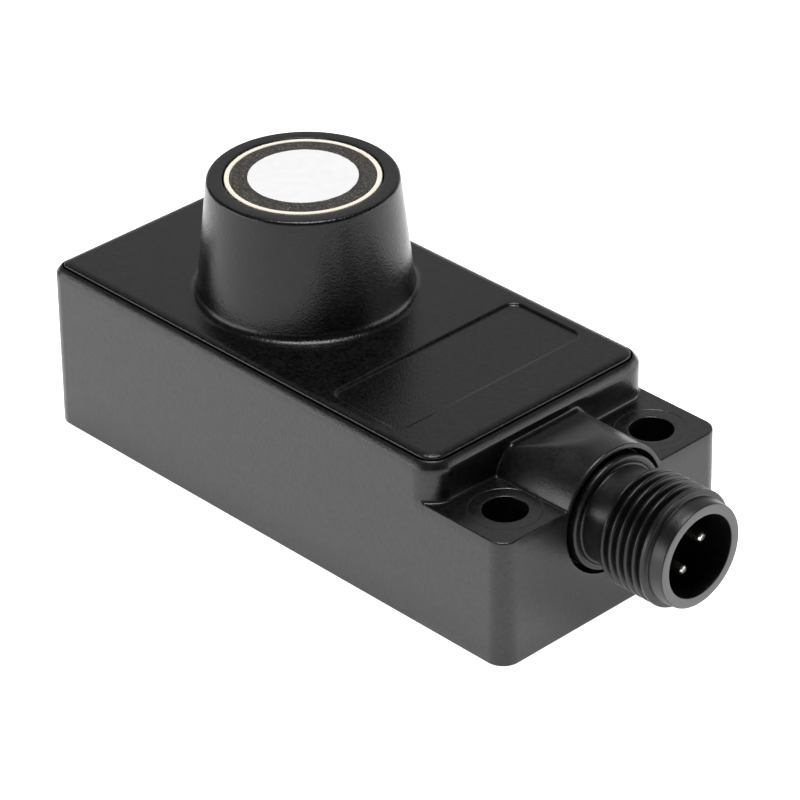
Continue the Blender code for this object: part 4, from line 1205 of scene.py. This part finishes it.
LOOKS = {
    "dark_housing": look(
        (0.0002, 0.0002, 0.0005),
        (0.0095, 0.0092, 0.0102),
        (0.28, 0.36),
        (0.2, 0.02),
        (0.6, 0.008),
        mottle=0.42,
        polish=0.75,
    ),
    "painted_cover": look(
        (0.0001, 0.0001, 0.0003),
        (0.009, 0.0087, 0.0095),
        (0.2, 0.27),
        (0.22, 0.03),
        (0.7, 0.012),
        mottle=0.38,
        specular=0.34,
    ),
    "black_plastic": look(
        (0.0002, 0.0002, 0.0004),
        (0.006, 0.006, 0.0064),
        (0.3, 0.4),
        (0.2, 0.012),
        (0.8, 0.008),
        mottle=0.4,
        specular=0.42,
        # the connector's front face, facing +X, gets a lighter grey and a rougher finish than the rest of the
        # shell
        cut_face=(FRONT - 0.14, grey(0.11), 0.5),
    ),
    "seal_rubber": look(grey(0.01), grey(0.018), (0.6, 0.75), (0.15, 0.01)),
    "cream_silicone": look((0.88, 0.8, 0.66), (0.93, 0.86, 0.75), (0.45, 0.6), (0.2, 0.008)),
    "filled_resin": look(
        (0.004, 0.0035, 0.003),
        (0.06, 0.053, 0.046),
        (0.65, 0.85),
        (0.12, 0.04),
        (0.3, 0.03),
        mottle=0.3,
        speck=(0.2, 0.64, 0.7, (0.24, 0.21, 0.17)),
    ),
    "white_coating": look(grey(0.8), grey(0.84), (0.55, 0.7), (0.2, 0.006), (1.2, 0.008)),
    "ceramic": look((0.6, 0.56, 0.47), (0.72, 0.68, 0.58), (0.4, 0.55), (0.1, 0.01)),
    "damping_resin": look((0.05, 0.05, 0.058), (0.1, 0.1, 0.11), (0.6, 0.8), (0.2, 0.03), mottle=0.5),
    "cast_resin": look((0.02, 0.02, 0.024), (0.035, 0.035, 0.04), (0.25, 0.45), (2.5, 0.05)),
    "board": look(
        (0.012, 0.11, 0.04),
        (0.02, 0.17, 0.06),
        (0.35, 0.5),
        (0.3, 0.012),
        mottle=0.6,
        coat=(0.4, 0.3),
    ),
    "chip_black": look(grey(0.02), grey(0.035), (0.45, 0.6), (0.08, 0.01)),
    "capacitor_amber": look((0.6, 0.38, 0.07), (0.78, 0.53, 0.12), (0.35, 0.5), (0.3, 0.02)),
    "capacitor_can": metal(
        (0.62, 0.62, 0.64), (0.78, 0.78, 0.8), (0.25, 0.4), (0.3, 0.004), stretch=(1.0, 1.0, 0.1)
    ),
    "sensor_bead": look(grey(0.012), grey(0.024), (0.2, 0.35), (0.4, 0.02)),
    "ferrite": look((0.035, 0.035, 0.04), (0.065, 0.065, 0.07), (0.5, 0.7), (0.12, 0.015), mottle=0.3),
    "copper_wire": metal(
        (0.6, 0.25, 0.1), (0.8, 0.4, 0.18), (0.28, 0.45), (0.25, 0.03), stretch=(0.1, 1.0, 1.0)
    ),
    "nickel_plate": metal((0.58, 0.57, 0.54), (0.72, 0.71, 0.68), (0.22, 0.38), (0.4, 0.004)),
    "plated_pin": metal((0.7, 0.68, 0.63), (0.82, 0.8, 0.75), (0.2, 0.32), (0.2, 0.003)),
    "red_wire": wire((0.45, 0.02, 0.015), (0.62, 0.035, 0.025)),
    "black_wire": wire(grey(0.012), grey(0.024)),
    "brown_wire": wire((0.14, 0.055, 0.02), (0.22, 0.09, 0.035)),
    "white_wire": wire((0.68, 0.68, 0.66), (0.8, 0.8, 0.78)),
    "blue_wire": wire((0.02, 0.07, 0.38), (0.035, 0.11, 0.52)),
}


def repaint_cad(materials):
    """Gives every CAD node the procedural material of its own slot."""
    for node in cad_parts.values():
        for holder in node.material_slots:
            slot = holder.material.name.split(".")[0]
            holder.material = materials[slot]


# ---- stage ----
def make_floor():
    """A large pale sheet under the sensor, lit from inside like a light table."""
    material, nodes, links, shader = new_material("pale_floor")
    coordinates = nodes.new("ShaderNodeTexCoord").outputs["Object"]
    tone = noise_node(nodes, links, coordinates, 60.0, detail=2.0)
    share = scaled(nodes, links, tone, 0.0, 1.0)
    color = blended(nodes, links, share, grey(0.84), grey(0.86))
    links.new(color, shader.inputs["Base Color"])
    shader.inputs["Roughness"].default_value = 0.9
    shader.inputs["Specular IOR Level"].default_value = 0.1
    shader.inputs["Emission Color"].default_value = (1.0, 1.0, 1.0, 1.0)
    shader.inputs["Emission Strength"].default_value = FLOOR_GLOW
    mesh_data = bmesh.new()
    half = 4.0
    corners = ((-half, -half), (half, -half), (half, half), (-half, half))
    mesh_data.faces.new([mesh_data.verts.new((x, y, 0.0)) for x, y in corners])
    mesh = bpy.data.meshes.new("floor")
    mesh_data.to_mesh(mesh)
    mesh_data.free()
    mesh.materials.append(material)
    floor = bpy.data.objects.new("floor", mesh)
    floor.location.z = -0.02 * MM
    bpy.context.scene.collection.objects.link(floor)


FLOOR_GLOW = 1.02
WORLD_LIGHT = 0.06
# name, compass angle from +X, height angle, distance in metres, size in metres, radiance
LAMPS = (
    ("overhead_softbox", 0.0, 90.0, 0.55, (0.25, 0.25), 13.2),
    ("left_panel", -120.0, 12.0, 0.6, (0.6, 0.24), 3.9),
    ("right_panel", 50.0, 12.0, 0.6, (0.6, 0.24), 3.0),
    ("back_panel", 133.5, 28.0, 0.9, (1.3, 0.9), 0.5),
)


def make_world():
    world = bpy.data.worlds.new("studio")
    world.use_nodes = True
    background = world.node_tree.nodes["Background"]
    background.inputs["Color"].default_value = (1.0, 1.0, 1.0, 1.0)
    background.inputs["Strength"].default_value = WORLD_LIGHT
    bpy.context.scene.world = world


def make_lights():
    """Soft rectangular panels that face the sensor."""
    for name, turn, rise, distance, size, glow in LAMPS:
        turn = math.radians(turn)
        rise = math.radians(rise)
        level = distance * math.cos(rise)
        place = Vector((level * math.cos(turn), level * math.sin(turn), distance * math.sin(rise)))
        data = bpy.data.lights.new(name, "AREA")
        data.shape = "RECTANGLE"
        data.size, data.size_y = size
        data.energy = glow * math.pi * size[0] * size[1]
        lamp = bpy.data.objects.new(name, data)
        lamp.location = place
        lamp.rotation_mode = "QUATERNION"
        lamp.rotation_quaternion = (Vector((0.0, 0.0, 0.0)) - place).to_track_quat("-Z", "Y")
        bpy.context.scene.collection.objects.link(lamp)


def make_camera():
    """The photograph's viewpoint."""
    turn = (math.sin(CAMERA_TURN), math.cos(CAMERA_TURN))
    rise = (math.sin(CAMERA_RISE), math.cos(CAMERA_RISE))
    back = Vector((turn[0] * rise[1], -turn[1] * rise[1], rise[0]))
    right = Vector((turn[1], turn[0], 0.0))
    up = back.cross(right)
    c = math.cos(CAMERA_ROLL)
    s = math.sin(CAMERA_ROLL)
    right, up = right * c + up * s, up * c - right * s
    data = bpy.data.cameras.new("camera")
    data.sensor_width = SENSOR_MM
    data.lens = LENS_MM
    data.shift_x, data.shift_y = CAMERA_SHIFT
    data.clip_start = 0.01
    camera = bpy.data.objects.new("camera", data)
    camera.rotation_mode = "QUATERNION"
    camera.rotation_quaternion = Matrix((right, up, back)).transposed().to_quaternion()
    camera.location = (Vector(CAMERA_TARGET) + back * CAMERA_DISTANCE) * MM
    bpy.context.scene.collection.objects.link(camera)
    bpy.context.scene.camera = camera


def put(piece, *nodes):
    """The piece moves with the body and stands for these CAD nodes."""
    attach(piece, BODY)
    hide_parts(*nodes)


def main():
    make_camera()
    make_world()
    make_lights()
    make_floor()
    bpy.context.scene.view_settings.view_transform = "Standard"
    materials = {slot: finish_material(slot + "_finish", look) for slot, look in LOOKS.items()}
    repaint_cad(materials)
    put(build_housing(materials["dark_housing"]), "housing")
    put(build_cover(materials["painted_cover"]), "top_cover")
    put(build_sleeve(materials["cream_silicone"]), "decoupling_sleeve")
    put(build_layer(materials["filled_resin"]), "matching_layer")
    put(build_disc(materials["white_coating"]), "face_disc")
    put(build_shell(materials["black_plastic"]), "connector_shell")
    for number in range(1, 5):
        put(build_pin(number, materials["plated_pin"]), f"contact_pin_{number}")


main()
